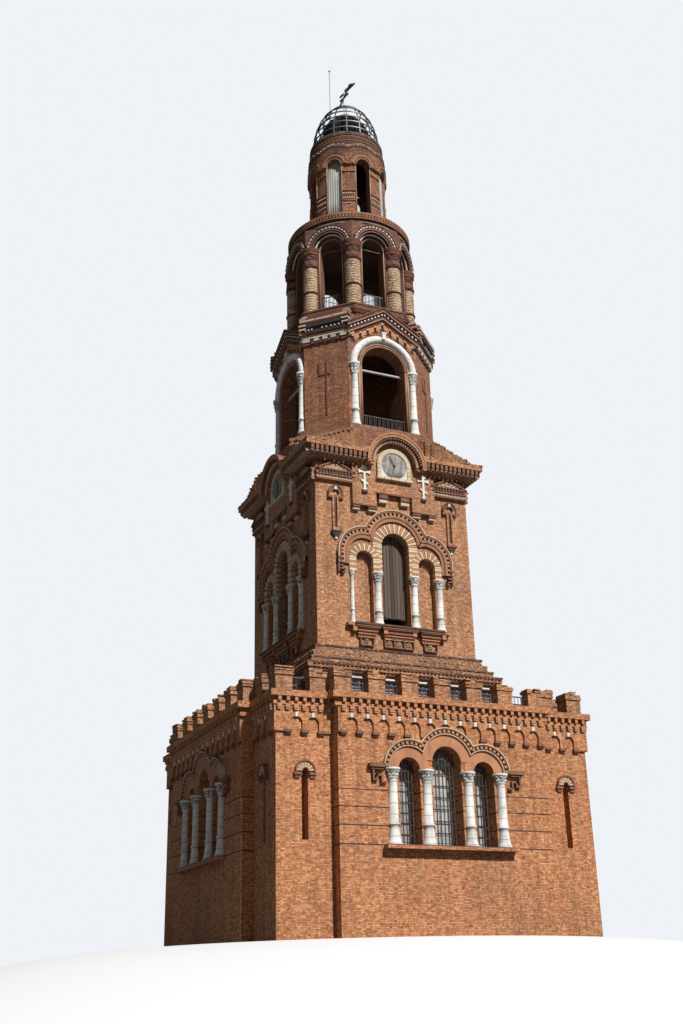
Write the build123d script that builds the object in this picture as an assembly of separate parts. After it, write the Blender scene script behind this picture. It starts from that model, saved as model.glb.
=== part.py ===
from build123d import *
from math import cos, radians, sin, sqrt, tan
import os

# Five-storey brick bell tower, a 1:2 scale model, in millimetres. The origin is on the ground in the
# middle of the tower, +Z is up and the front faces -Y. Every height is stacked on the one below it.

SIDES = {"front": 0, "right": 90, "back": 180, "left": 270}
EIGHTH = 45.0

# Ground storey: four corner blocks with a wider bay standing out between them
ground_half = 4500.0
bay_half = 3000.0
bay_step = 325.0
ground_wall = 700.0
ground_wall_height = 5460.0
frieze_height = 640.0
frieze_step = 60.0
frieze_arch_pitch = 439.0
frieze_arch_half = 160.0
frieze_arch_spring = 220.0
frieze_bay_arches = 13
corner_arch_shift = 220.0

# Ground windows: one wide light between two narrow ones
window_sill = 2160.0
middle_light_half = 410.0
middle_light_spring = 4220.0
side_light_half = 292.0
side_light_centre = 1069.0
side_light_spring = 4005.0
light_column_radius = 120.0
light_capital_height = 260.0
light_base_height = 150.0
light_sill_step = 240.0
light_sill_margin = 296.0
surround_step = 110.0
middle_arch_outer = 880.0
side_arch_outer = 740.0
arch_band = 170.0
window_screen_thickness = 40.0
window_screen_setback = 500.0
slit_half = 85.0
slit_sill = 2265.0
slit_spring = 3880.0
slit_depth = 260.0
slit_hood_outer = 255.0

# Ground cornice, parapet and terrace
string_height = 90.0
string_step = 90.0
corbel_height = 110.0
corbel_step = 40.0
cornice_height = 160.0
cornice_step = 170.0
terrace_thickness = 200.0
merlon_width = 450.0
merlon_depth = 300.0
merlon_height = 420.0
merlon_cap_height = 210.0
merlon_cap_step = 30.0
merlon_pitch = 943.0
merlons_on_bay = 7
block_merlon_place = 3320.0
block_merlon_width = 520.0
rail_bar = 30.0
rail_height = 520.0
rail_low_bar = 78.0
rail_middle_bar = 312.0
rail_clearance = 60.0
rail_posts = 9

# Inner arches that carry the tower down to the ground
inner_arch_half = 1300.0
inner_arch_spring = 3200.0

# Low attic with small windows, and the stepped foot of the clock storey
attic_half = 2925.0
attic_height = 1130.0
attic_window_half = 200.0
attic_window_sill = 540.0
attic_window_height = 500.0
attic_window_pitch = 1008.0
attic_window_count = 6
attic_pane_thickness = 20.0
attic_pane_setback = 200.0
plinth_course_step = 70.0
plinth_course_height = 150.0
plinth_steps = 3
plinth_height = 745.0

# Clock storey
clock_ledge = 52.0
clock_wall = 560.0
clock_wall_height = 5595.0
clock_sill = 720.0
clock_light_half = 440.0
clock_light_spring = 3145.0
niche_half = 270.0
niche_centre = 1000.0
niche_spring = 2655.0
niche_depth = 180.0
clock_column_radius = 105.0
clock_column_height = 1575.0
clock_base_height = 130.0
clock_capital_height = 260.0
inner_column_place = 585.0
outer_column_place = 1400.0
voussoir_band = 285.0
side_voussoir_band = 210.0
voussoir_step = 50.0
middle_label_rise = 60.0
middle_label_outer = 1083.0
side_label_rise = 155.0
side_label_outer = 842.0
label_band = 150.0
label_step = 120.0
label_drop = 645.0
label_stop_half = 150.0
label_stop_height = 540.0
board_setback = 260.0
board_thickness = 40.0
sill_course = 90.0
sill_step = 170.0
apron_height = 300.0
apron_step = 70.0
panel_half = 1350.0
panel_notch_half = 585.0
panel_side_drop = 1275.0
panel_middle_drop = 825.0
panel_step = 120.0
pediment_margin = 10.0
pediment_half = 600.0
pediment_rise = 285.0
pediment_body = 360.0
pediment_step = 90.0
pendant_drop = 1005.0
pendant_radius = 225.0
pendant_half = 100.0
pendant_length = 1185.0
pendant_step = 60.0
pendant_slot_half = 45.0
pendant_slot_length = 1066.0
pendant_eye_radius = 112.0

# Clock cornice with a round gable over each dial
clock_fillet_height = 100.0
clock_fillet_step = 180.0
clock_cornice_height = 376.0
clock_cornice_step = 430.0
gable_centre_rise = 80.0
gable_outer = 971.0
gable_band = 130.0
gable_middle_step = 300.0
dial_radius = 412.0
dial_thickness = 60.0
dial_frame_half = 540.0
dial_frame_drop = 400.0
dial_frame_step = 60.0
clock_roof_thickness = 300.0

# Bell storey: an octagon with four wide faces and four narrow ones
bell_half = 2228.0
bell_face_half = 1193.0
bell_wall = 500.0
bell_base_height = 950.0
bell_base_step = 200.0
bell_wall_height = 3924.0
bell_floor_thickness = 200.0
bell_arch_half = 742.0
bell_arch_spring = 2156.0
bell_surround_outer = 1138.0
bell_surround_band = 225.0
bell_surround_step = 120.0
bell_column_place = 1000.0
bell_column_radius = 118.0
bell_capital_height = 420.0
bell_foot_height = 160.0
keystone_half = 85.0
keystone_height = 300.0
keystone_step = 60.0
tie_radius = 40.0
railing_height = 500.0
railing_inset = 120.0
railing_bar = 26.0
railing_balusters = 9
bell_cornice_foot = 3150.0
bell_cornice_height = 680.0
bell_cornice_step = 180.0
cornice_courses = 3
bell_gable_peak = 4290.0
bell_gable_rise = 760.0
bell_gable_band = 520.0

# Upper arcade: eight arched bays between round piers
arcade_base_height = 260.0
arcade_base_half = 2228.0
arcade_base_inset = 70.0
arcade_half = 1790.0
arcade_wall = 380.0
arcade_wall_height = 3510.0
arcade_sill = 480.0
arcade_arch_half = 383.0
arcade_arch_spring = 2664.0
arcade_pier_centre = 1900.0
arcade_shaft_radius = 246.0
arcade_band_radius = 278.0
arcade_band_height = 60.0
arcade_neck_radius = 262.0
arcade_foot_radius = 283.0
arcade_abacus_radius = 320.0
arcade_abacus_height = 150.0
arcade_flare_height = 50.0
arcade_capital_height = 710.0
arcade_capital_rise = 110.0
arcade_foot_height = 300.0
arcade_head_step = 190.0
arcade_arch_band = 110.0
arcade_cornice_radius = 2080.0
arcade_cornice_height = 360.0
arcade_cornice_inset = 60.0
arcade_balusters = 5

# Round lantern
lantern_radius = 1305.0
lantern_wall = 260.0
lantern_wall_height = 2530.0
lantern_sill = 270.0
lantern_arch_half = 252.0
lantern_head_radius = 1360.0
lantern_head_height = 500.0
neck_height = 1300.0
neck_radius = 1262.0
neck_bulge = 20.0
hood_outer = 530.0
hood_band = 90.0
hood_step = 35.0
rim_height = 150.0
rim_band = 110.0
rim_step = 35.0
sheet_thickness = 30.0
sheet_setback = 90.0

# Bare iron dome, inner cap, mast, fallen cross and aerial
dome_radius = 1205.0
dome_rise = 1960.0
dome_top_radius = 540.0
dome_ribs = 16
dome_hoops = 6
dome_bar = 34.0
cap_radius = 900.0
cap_skirt_height = 350.0
cap_height = 1590.0
cap_seat_height = 80.0
cap_bulge = 170.0
cap_top_radius = 380.0
mast_radius = 36.0
mast_height = 1290.0
cross_bar = 60.0
cross_length = 1904.0
cross_lean = 27.0
cross_azimuth = 38.3
cross_turn = 68.0
cross_arms = ((0.40, 420.0, 12.0), (0.72, 800.0, 0.0), (0.86, 400.0, 0.0))
aerial_radius = 12.0
aerial_height = 1860.0
aerial_azimuth = 206.0
aerial_tip_radius = 34.0

# Proportions that the turned columns share, as multiples of the shaft's radius and the capital's height
foot_spread = 1.5
collar_spread = 1.25
bell_spread = 1.5
abacus_spread = 1.6
collar_share = 0.16
abacus_share = 0.35

MITRE = tan(radians(EIGHTH / 2))


def box(x0, x1, y0, y1, z0, z1):
    """A box between two corners."""
    middle = Pos((x0 + x1) / 2, (y0 + y1) / 2, (z0 + z1) / 2)
    return middle * Box(x1 - x0, y1 - y0, z1 - z0)


def square_ring(outer, inner, z0, z1):
    return box(-outer, outer, -outer, outer, z0, z1) - box(-inner, inner, -inner, inner, z0, z1)


def prism(points, z0, z1):
    """A plan outline raised from z0 to z1."""
    return Pos(0, 0, z0) * extrude(make_face(Polyline(*points, close=True)), amount=z1 - z0)


def upright(sketch, y0, y1):
    """A sketch in x and z, made solid between two depths."""
    return Pos(0, y0, 0) * extrude(Plane.XZ * sketch, amount=y1 - y0, dir=(0, 1, 0))


def outline(*points):
    return make_face(Polyline(*points, close=True))


def arched(half, foot, spring, x=0.0):
    """The outline of a round-headed opening."""
    legs = Polyline((x - half, spring), (x - half, foot), (x + half, foot), (x + half, spring))
    head = ThreePointArc((x + half, spring), (x, spring + half), (x - half, spring))
    return make_face(Curve([legs, head]))


def turned(shape, angle):
    return Rot(0, 0, angle) * shape


def gathered(shapes):
    """Separate solids of one node."""
    return Compound([solid for shape in shapes for solid in shape.solids()])


def on_four_sides(shape):
    return gathered([turned(shape, angle) for angle in SIDES.values()])


def on_eight_sides(shape, start=0.0):
    return [turned(shape, start + EIGHTH * count) for count in range(8)]


def octagon(face_distance):
    """A regular octagon with faces at the front and at the sides."""
    return Rot(0, 0, EIGHTH / 2) * RegularPolygon(face_distance, 8, major_radius=False)


def raised(sketch, z0, z1):
    return Pos(0, 0, z0) * extrude(sketch, amount=z1 - z0)


def column(radius, foot, head, base, capital):
    """A turned column with a block at its foot and a spreading capital."""
    neck = head - capital
    collar = collar_share * capital
    block = head - abacus_share * capital
    profile = [(0, foot), (foot_spread * radius, foot), (foot_spread * radius, foot + base / 2),
               (radius, foot + base), (radius, neck), (collar_spread * radius, neck + collar / 2),
               (radius, neck + collar), (bell_spread * radius, block),
               (abacus_spread * radius, block), (abacus_spread * radius, head), (0, head)]
    return revolve(make_face(Plane.XZ * Polyline(*profile, close=True)), Axis.Z)


def half_column(x, face, radius, foot, head, base, capital):
    """The half of a column that stands out of a wall face."""
    whole = column(radius, foot, head, base, capital)
    return Pos(x, -face, 0) * (whole & box(-2 * radius, 2 * radius, -2 * radius, 0, foot, head))


def save(name, shape):
    export_step(shape, f"parts/{name}.step")


# Heights stacked from the ground
bay_face = ground_half + bay_step
ground_inner = ground_half - ground_wall
frieze_foot = ground_wall_height - frieze_height
terrace_top = ground_wall_height + string_height + corbel_height + cornice_height
attic_top = terrace_top + attic_height
clock_foot = attic_top + plinth_height
clock_wall_top = clock_foot + clock_wall_height
clock_top = clock_wall_top + clock_fillet_height + clock_cornice_height
bell_floor = clock_top + bell_base_height
bell_wall_top = bell_floor + bell_wall_height
arcade_floor = bell_wall_top + arcade_base_height
arcade_wall_top = arcade_floor + arcade_wall_height
lantern_floor = arcade_wall_top + arcade_cornice_height
lantern_wall_top = lantern_floor + lantern_wall_height
neck_top = lantern_wall_top + neck_height
rim_top = neck_top + rim_height
clock_half = bell_half + bell_base_step + clock_ledge
clock_inner = clock_half - clock_wall
pediment_centre = clock_half - pediment_half - pediment_margin
ground_between = (middle_light_half + side_light_centre - side_light_half) / 2
ground_outside = side_light_centre + side_light_half + ground_between - middle_light_half


# Ground storey
def plan(extra):
    """The ground storey's outline, grown by extra on every face."""
    block = Rectangle(2 * (ground_half + extra), 2 * (ground_half + extra))
    wide = Rectangle(2 * (bay_face + extra), 2 * (bay_half + extra))
    deep = Rectangle(2 * (bay_half + extra), 2 * (bay_face + extra))
    return block + wide + deep


def frieze(places, x0, x1, face, seat=None):
    """A projecting band cut by small round arches that are open below, and by a seat."""
    band = Pos((x0 + x1) / 2, frieze_foot + frieze_height / 2) * Rectangle(x1 - x0, frieze_height)
    for place in places:
        band -= arched(frieze_arch_half, frieze_foot, frieze_foot + frieze_arch_spring, place)
    if seat is not None:
        band -= seat
    return upright(band, -face - frieze_step, -face)


def ground_lights(extra, foot):
    """The outline of the three lights of a window, grown by extra."""
    shape = arched(middle_light_half + extra, foot, middle_light_spring)
    for x in (-side_light_centre, side_light_centre):
        shape += arched(side_light_half + extra, foot, side_light_spring, x)
    return shape


def ground_bay():
    wall = box(-bay_half, bay_half, -bay_face, -ground_inner, 0, ground_wall_height)
    wall -= upright(ground_lights(0, window_sill), -bay_face, -ground_inner)
    middle = (frieze_bay_arches - 1) / 2
    places = [(count - middle) * frieze_arch_pitch for count in range(frieze_bay_arches)]
    seat = Pos(0, middle_light_spring) * Circle(middle_arch_outer)
    return wall + ground_sill() + frieze(places, -bay_half, bay_half, bay_face, seat)


def corner_trim(middle):
    """The slit of a corner block's face, and its hood and frieze."""
    slit = upright(arched(slit_half, slit_sill, slit_spring, middle), -ground_half,
                   -ground_half + slit_depth)
    hood = Circle(slit_hood_outer) - Circle(slit_half)
    hood -= Pos(0, -slit_hood_outer) * Rectangle(3 * slit_hood_outer, 2 * slit_hood_outer)
    places = [middle - corner_arch_shift, middle + corner_arch_shift]
    trim = upright(Pos(middle, slit_spring) * hood, -ground_half - frieze_step, -ground_half)
    return slit, trim + frieze(places, bay_half, ground_half + frieze_step, ground_half)


def ground_corner():
    """The front right corner block, an angle of masonry with a blind slit on each outer face."""
    across = Plane((0, 0, 0), x_dir=(1, -1, 0), z_dir=(1, 1, 0))
    block = box(bay_half, ground_half, -ground_half, -bay_half, 0, ground_wall_height)
    block -= box(bay_half, ground_inner, -ground_inner, -bay_half, 0, ground_wall_height)
    slit, trim = corner_trim((bay_half + ground_half) / 2)
    block -= slit
    block -= mirror(slit, about=across)
    return block + trim + mirror(trim, about=across)


def ground_surround():
    """The moulded arches over one window, carried by four half columns."""
    crown = Pos(0, middle_light_spring) * Circle(middle_arch_outer)
    hollow = Pos(0, middle_light_spring) * Circle(middle_arch_outer - arch_band)
    for x in (-side_light_centre, side_light_centre):
        crown += Pos(x, side_light_spring) * Circle(side_arch_outer)
        hollow += Pos(x, side_light_spring) * Circle(side_arch_outer - arch_band)
    reach = side_light_centre + side_arch_outer
    below = Pos(0, side_light_spring / 2) * Rectangle(2 * reach, side_light_spring)
    return upright(crown - hollow - below, -bay_face - surround_step, -bay_face)


def ground_columns():
    places = (-ground_outside, -ground_between, ground_between, ground_outside)
    return [half_column(x, bay_face, light_column_radius, window_sill, side_light_spring,
                        light_base_height, light_capital_height) for x in places]


def ground_sill():
    """The course under a window that its columns stand on."""
    reach = ground_outside + light_sill_margin
    return box(-reach, reach, -bay_face - light_sill_step, -bay_face,
               window_sill - sill_course, window_sill)


def ground_screens():
    """Pale sheets that close the lights behind their bars."""
    back = -bay_face + window_screen_setback
    return upright(ground_lights(0, window_sill), back, back + window_screen_thickness)


for side, angle in SIDES.items():
    save(f"ground_wall_{side}", turned(ground_bay(), angle))
save("ground_corner_blocks", on_four_sides(ground_corner()))
save("ground_window_columns", on_four_sides(gathered(ground_columns())))
save("ground_window_arches", on_four_sides(ground_surround()))
save("ground_window_screens", on_four_sides(ground_screens()))


# Inner arches, cornice, parapet and terrace
def inner_arches():
    """The tower's own walls inside the ground storey, open in a wide arch on each side."""
    ring = square_ring(attic_half, clock_inner, 0, terrace_top)
    passage = upright(arched(inner_arch_half, 0, inner_arch_spring), -attic_half, attic_half)
    return ring - passage - turned(passage, 90)


def terrace():
    """The ground storey's cornice and the slab inside it, which the parapet stands on."""
    levels = ((string_height, string_step), (corbel_height, corbel_step),
              (cornice_height, cornice_step))
    ring = None
    z = ground_wall_height
    hollow = Rectangle(2 * ground_inner, 2 * ground_inner)
    for height, step in levels:
        course = raised(plan(step) - hollow, z, z + height)
        ring = course if ring is None else ring + course
        z += height
    return ring + square_ring(ground_inner, attic_half, terrace_top - terrace_thickness, terrace_top)


def merlon(x, y, width, depth):
    stem_top = terrace_top + merlon_height
    stem = box(x - width / 2, x + width / 2, y - depth / 2, y + depth / 2, terrace_top, stem_top)
    wide = width / 2 + merlon_cap_step
    deep = depth / 2 + merlon_cap_step
    cap = box(x - wide, x + wide, y - deep, y + deep, stem_top, stem_top + merlon_cap_height)
    return stem + cap


def parapet_side():
    middle = (merlons_on_bay - 1) / 2
    places = [(count - middle) * merlon_pitch for count in range(merlons_on_bay)]
    bay = [merlon(x, -bay_face + merlon_depth / 2, merlon_width, merlon_depth) for x in places]
    row = -ground_half + merlon_depth / 2
    block = [merlon(x, row, block_merlon_width, merlon_depth)
             for x in (-block_merlon_place, block_merlon_place)]
    corner = ground_half - merlon_width / 2
    return bay + block + [merlon(corner, -corner, merlon_width, merlon_width)]


def terrace_railing():
    """Three thin bars on posts, just behind the merlons."""
    line = ground_half - merlon_width - merlon_cap_step - rail_clearance
    levels = (rail_low_bar, rail_middle_bar, rail_height)
    frame = None
    for level in levels:
        bars = square_ring(line, line - rail_bar, terrace_top + level - rail_bar,
                           terrace_top + level)
        frame = bars if frame is None else frame + bars
    centre = line - rail_bar / 2
    for count in range(rail_posts):
        x = centre * (2 * count / (rail_posts - 1) - 1)
        post = box(x - rail_bar / 2, x + rail_bar / 2, -line, -line + rail_bar, terrace_top,
                   terrace_top + rail_height)
        for angle in SIDES.values():
            frame += turned(post, angle)
    return frame


save("tower_inner_arches", inner_arches())
save("terrace_and_cornice", terrace())
save("parapet_merlons", on_four_sides(gathered(parapet_side())))
save("terrace_railing", terrace_railing())


# Attic and stepped foot
def attic_places():
    middle = (attic_window_count - 1) / 2
    return [(count - middle) * attic_window_pitch for count in range(attic_window_count)]


def attic_lights():
    foot = terrace_top + attic_window_sill + attic_window_height / 2
    shape = None
    for x in attic_places():
        light = Pos(x, foot) * Rectangle(2 * attic_window_half, attic_window_height)
        shape = light if shape is None else shape + light
    return shape


def attic_wall():
    ring = square_ring(attic_half, clock_inner, terrace_top, attic_top)
    lights = upright(attic_lights(), -attic_half, -clock_inner)
    for angle in SIDES.values():
        ring -= turned(lights, angle)
    return ring


def stepped_foot():
    ring = square_ring(attic_half + plinth_course_step, clock_inner, attic_top,
                       attic_top + plinth_course_height)
    rise = (plinth_height - plinth_course_height) / plinth_steps
    for step in range(plinth_steps):
        half = attic_half - (attic_half - clock_half) * (step + 1) / (plinth_steps + 1)
        z = attic_top + plinth_course_height + step * rise
        ring += square_ring(half, clock_inner, z, z + rise)
    return ring


pane_face = attic_half - attic_pane_setback
save("attic_and_foot", attic_wall() + stepped_foot())
save("attic_glass", on_four_sides(upright(attic_lights(), -pane_face - attic_pane_thickness,
                                          -pane_face)))


# Clock storey
sill_z = clock_foot + clock_sill
light_spring_z = clock_foot + clock_light_spring
niche_spring_z = clock_foot + niche_spring
capital_z = sill_z + clock_column_height


def niche_pair(half, foot, spring):
    return arched(half, foot, spring, -niche_centre) + arched(half, foot, spring, niche_centre)


def clock_label_outline(inset):
    """The three overlapping arches of the hood mould, drawn in by inset."""
    foot = niche_spring_z + side_label_rise - label_drop
    middle = arched(middle_label_outer - inset, foot, light_spring_z + middle_label_rise)
    return middle + niche_pair(side_label_outer - inset, foot, niche_spring_z + side_label_rise)


def clock_label():
    stop_x = niche_centre + side_label_outer - label_band / 2
    stop_z = niche_spring_z + side_label_rise - label_drop
    mould = clock_label_outline(0) - clock_label_outline(label_band)
    for x in (-stop_x, stop_x):
        mould += Pos(x, stop_z + label_stop_height / 2) * Rectangle(2 * label_stop_half,
                                                                    label_stop_height)
    return upright(mould, -clock_half - label_step, -clock_half)


def clock_voussoirs():
    """The striped arch rings over the light and its niches, down to the capitals."""
    rings = arched(clock_light_half + voussoir_band, capital_z, light_spring_z)
    rings += niche_pair(niche_half + side_voussoir_band, capital_z, niche_spring_z)
    rings -= arched(clock_light_half, capital_z, light_spring_z)
    rings -= niche_pair(niche_half, capital_z, niche_spring_z)
    rings &= Pos(0, 2 * capital_z) * Rectangle(4 * clock_half, 2 * capital_z)
    return upright(rings, -clock_half - voussoir_step, -clock_half)


def clock_columns():
    places = (-outer_column_place, -inner_column_place, inner_column_place, outer_column_place)
    return [half_column(x, clock_half, clock_column_radius, sill_z, capital_z,
                        clock_base_height, clock_capital_height) for x in places]


def clock_panel():
    """The raised panel around the dial, with its lower edge notched in the middle."""
    top = clock_wall_top
    side = top - panel_side_drop
    middle = top - panel_middle_drop
    shape = outline((-panel_half, side), (-panel_notch_half, side), (-panel_notch_half, middle),
                    (panel_notch_half, middle), (panel_notch_half, side), (panel_half, side),
                    (panel_half, top), (-panel_half, top))
    return upright(shape, -clock_half - panel_step, -clock_half)


def corner_pediment(x):
    """A small gable on a body at one end of the wall, over a keyhole-shaped pendant."""
    eaves = clock_wall_top - pediment_rise
    shape = outline((x - pediment_half, eaves - pediment_body), (x + pediment_half, eaves - pediment_body),
                    (x + pediment_half, eaves), (x, clock_wall_top), (x - pediment_half, eaves))
    ring_z = clock_wall_top - pendant_drop
    keyhole = Pos(x, ring_z) * Circle(pendant_radius)
    keyhole += Pos(x, ring_z - pendant_length / 2) * Rectangle(2 * pendant_half, pendant_length)
    slot = Pos(x, ring_z) * Circle(pendant_eye_radius)
    slot += Pos(x, ring_z - pendant_slot_length / 2) * Rectangle(2 * pendant_slot_half,
                                                                pendant_slot_length)
    face = -clock_half
    return (upright(shape, face - pediment_step, face)
            + upright(keyhole - slot, face - pendant_step, face))


def clock_apron():
    """The sill course under the three lights and the stepped brick apron below it."""
    reach = outer_column_place + 2 * clock_column_radius
    course = box(-reach, reach, -clock_half - sill_step, -clock_half, sill_z - sill_course, sill_z)
    apron_top = sill_z - sill_course
    apron = None
    for x, half in ((-niche_centre, niche_half), (0, clock_light_half), (niche_centre, niche_half)):
        block = box(x - half, x + half, -clock_half - apron_step, -clock_half,
                    apron_top - apron_height, apron_top)
        apron = block if apron is None else apron + block
    return course + apron


def clock_wall_side():
    points = [(-clock_half, -clock_half), (clock_half, -clock_half), (clock_inner, -clock_inner),
              (-clock_inner, -clock_inner)]
    wall = prism(points, clock_foot, clock_wall_top)
    wall -= upright(arched(clock_light_half, sill_z, light_spring_z), -clock_half, -clock_inner)
    wall -= upright(niche_pair(niche_half, sill_z, niche_spring_z), -clock_half,
                    -clock_half + niche_depth)
    wall += clock_panel() + clock_apron()
    return wall + corner_pediment(-pediment_centre) + corner_pediment(pediment_centre)


def clock_boards():
    back = -clock_half + board_setback
    return upright(arched(clock_light_half, sill_z, light_spring_z), back, back + board_thickness)


for side, angle in SIDES.items():
    save(f"clock_wall_{side}", turned(clock_wall_side(), angle))
save("clock_window_columns", on_four_sides(gathered(clock_columns())))
save("clock_window_voussoirs", on_four_sides(clock_voussoirs()))
save("clock_window_hoods", on_four_sides(clock_label()))
save("clock_window_boards", on_four_sides(clock_boards()))
save("clock_floor", box(-clock_inner, clock_inner, -clock_inner, clock_inner,
                        clock_foot - clock_roof_thickness, clock_foot))


# Clock cornice, round gables and dials
gable_z = clock_wall_top + gable_centre_rise
gable_face = clock_half + clock_cornice_step


def gable_block():
    """The round gable before it is hollowed, from the wall head up."""
    back = -bell_half - bell_base_step
    above = Pos(0, gable_z + gable_outer / 2) * Rectangle(2 * gable_outer, gable_outer)
    head = upright((Pos(0, gable_z) * Circle(gable_outer)) & above, -gable_face, back)
    return head + box(-gable_outer, gable_outer, -gable_face, -clock_half, clock_wall_top, gable_z)


def clock_gable():
    """A round gable that breaks up through the cornice, stepped back to the dial's panel."""
    hollow = Pos(0, gable_z) * Circle(gable_outer - gable_band)
    deep = Pos(0, gable_z) * Circle(gable_outer - 2 * gable_band)
    body = gable_block() - upright(hollow, -gable_face, -clock_half - gable_middle_step)
    return body - upright(deep, -gable_face, -clock_half - panel_step)


def clock_roof():
    """The clock storey's cornice, seated round the gables, and the slab inside it."""
    half_step = (clock_fillet_step + clock_cornice_step) / 2
    levels = ((clock_fillet_height, clock_fillet_step), (clock_cornice_height / 2, half_step),
              (clock_cornice_height / 2, clock_cornice_step))
    ring = None
    z = clock_wall_top
    for height, step in levels:
        course = square_ring(clock_half + step, clock_inner, z, z + height)
        ring = course if ring is None else ring + course
        z += height
    for angle in SIDES.values():
        ring -= turned(gable_block(), angle)
    return ring + box(-clock_inner, clock_inner, -clock_inner, clock_inner,
                      clock_top - clock_roof_thickness, clock_top)


def dial():
    face = -clock_half - panel_step
    return upright(Pos(0, gable_z) * Circle(dial_radius), face - dial_thickness, face)


def dial_frame():
    """A pale frame, round above and square below, around the dial."""
    frame = arched(dial_frame_half, gable_z - dial_frame_drop, gable_z)
    frame -= Pos(0, gable_z) * Circle(dial_radius)
    face = -clock_half - panel_step
    return upright(frame, face - dial_frame_step, face)


save("clock_roof_and_cornice", clock_roof())
save("clock_gables", on_four_sides(clock_gable()))
save("clock_dials", on_four_sides(dial()))
save("clock_dial_frames", on_four_sides(dial_frame()))


# Bell storey
def bell_plan(extra):
    """The octagon's eight corners, grown by extra on every face."""
    far = bell_half + extra
    near = bell_face_half + extra * MITRE
    return [(near, -far), (far, -near), (far, near), (near, far),
            (-near, far), (-far, near), (-far, -near), (-near, -far)]


def bell_segment(half, distance):
    """One face of the octagon's wall, mitred to its neighbours."""
    inner = half - bell_wall * MITRE
    points = [(-half, -distance), (half, -distance), (inner, bell_wall - distance),
              (-inner, bell_wall - distance)]
    return prism(points, bell_floor, bell_wall_top)


def bell_wide_wall():
    wall = bell_segment(bell_face_half, bell_half)
    spring = bell_floor + bell_arch_spring
    return wall - upright(arched(bell_arch_half, bell_floor, spring), -bell_half,
                          bell_wall - bell_half)


def bell_corner_wall():
    """The narrow wall that faces front and right."""
    half = (bell_half - bell_face_half) / sqrt(2)
    distance = (bell_half + bell_face_half) / sqrt(2)
    return turned(bell_segment(half, distance), EIGHTH)


def bell_base():
    """The octagonal foot of the bell storey, closed by its floor."""
    lid = prism(bell_plan(bell_base_step), clock_top, bell_floor)
    return lid - prism(bell_plan(-bell_wall), clock_top, bell_floor - bell_floor_thickness)


def bell_surround():
    """The white round arch over one bell opening, with its keystone."""
    spring = bell_floor + bell_arch_spring
    ring = Circle(bell_surround_outer) - Circle(bell_surround_outer - bell_surround_band)
    ring &= Pos(0, bell_surround_outer / 2) * Rectangle(2 * bell_surround_outer,
                                                        bell_surround_outer)
    arch = upright(Pos(0, spring) * ring, -bell_half - bell_surround_step, -bell_half)
    crown = spring + bell_surround_outer - bell_surround_band / 2
    stone = box(-keystone_half, keystone_half, -bell_half - bell_surround_step - keystone_step,
                -bell_half, crown - keystone_height / 2, crown + keystone_height / 2)
    return arch + stone


def bell_columns():
    spring = bell_floor + bell_arch_spring
    return [half_column(x, bell_half, bell_column_radius, bell_floor, spring,
                        bell_foot_height, bell_capital_height)
            for x in (-bell_column_place, bell_column_place)]


def tie_beam():
    """The iron tie that spans one bell arch at its spring."""
    rod = Cylinder(tie_radius, 2 * bell_arch_half, rotation=(0, 90, 0))
    return Pos(0, bell_wall / 2 - bell_half, bell_floor + bell_arch_spring - tie_radius) * rod


def railing(half, y, foot, balusters):
    """Two bars between jambs, with upright balusters."""
    bar = railing_bar / 2
    frame = box(-half, half, y - bar, y + bar, foot + railing_height - railing_bar,
                foot + railing_height)
    frame += box(-half, half, y - bar, y + bar, foot + railing_bar, foot + 2 * railing_bar)
    for count in range(balusters):
        x = half * (2 * (count + 1) / (balusters + 1) - 1)
        frame += box(x - bar / 2, x + bar / 2, y - bar / 2, y + bar / 2, foot,
                     foot + railing_height)
    return frame


def bell_wedge(step, z0, z1):
    """The space in front of one wide face, mitred at its corners."""
    far = bell_face_half + step * MITRE
    points = [(-bell_face_half, -bell_half), (bell_face_half, -bell_half),
              (far, -bell_half - step), (-far, -bell_half - step)]
    return prism(points, z0, z1)


def bell_gable():
    """The raking cornice of one wide face, corbelled out in courses."""
    peak = bell_floor + bell_gable_peak
    eaves = peak - bell_gable_rise
    reach = bell_face_half + bell_cornice_step * MITRE
    rake = None
    for course in range(cornice_courses):
        step = bell_cornice_step * (course + 1) / cornice_courses
        low = bell_gable_band * (1 - course / cornice_courses)
        high = bell_gable_band * (1 - (course + 1) / cornice_courses)
        shape = outline((-reach, eaves - low), (0, peak - low), (reach, eaves - low),
                        (reach, eaves - high), (0, peak - high), (-reach, eaves - high))
        part = upright(shape, -bell_half - step, -bell_half)
        rake = part if rake is None else rake + part
    return rake & bell_wedge(bell_cornice_step, eaves - bell_gable_band, peak)


def bell_cornice():
    """The level cornice of the narrow faces."""
    foot = bell_floor + bell_cornice_foot
    height = bell_cornice_height / cornice_courses
    ring = None
    for course in range(cornice_courses):
        step = bell_cornice_step * (course + 1) / cornice_courses
        z = foot + course * height
        part = prism(bell_plan(step), z, z + height) - prism(bell_plan(0), z, z + height)
        ring = part if ring is None else ring + part
    for angle in SIDES.values():
        ring -= turned(bell_wedge(bell_cornice_step, foot, foot + bell_cornice_height), angle)
    return ring


save("bell_arch_walls", on_four_sides(bell_wide_wall()))
save("bell_corner_walls", on_four_sides(bell_corner_wall()))
save("bell_base", bell_base())
save("bell_arch_surrounds", on_four_sides(bell_surround()))
save("bell_columns", on_four_sides(gathered(bell_columns())))
save("bell_ties_and_railings", on_four_sides(gathered([tie_beam(), railing(
    bell_arch_half, railing_inset - bell_half, bell_floor, railing_balusters)])))
save("bell_cornice", on_four_sides(bell_gable()) + bell_cornice())


# Upper arcade
arcade_spring_z = arcade_floor + arcade_arch_spring
arcade_cap_z = arcade_spring_z + arcade_capital_rise


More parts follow.
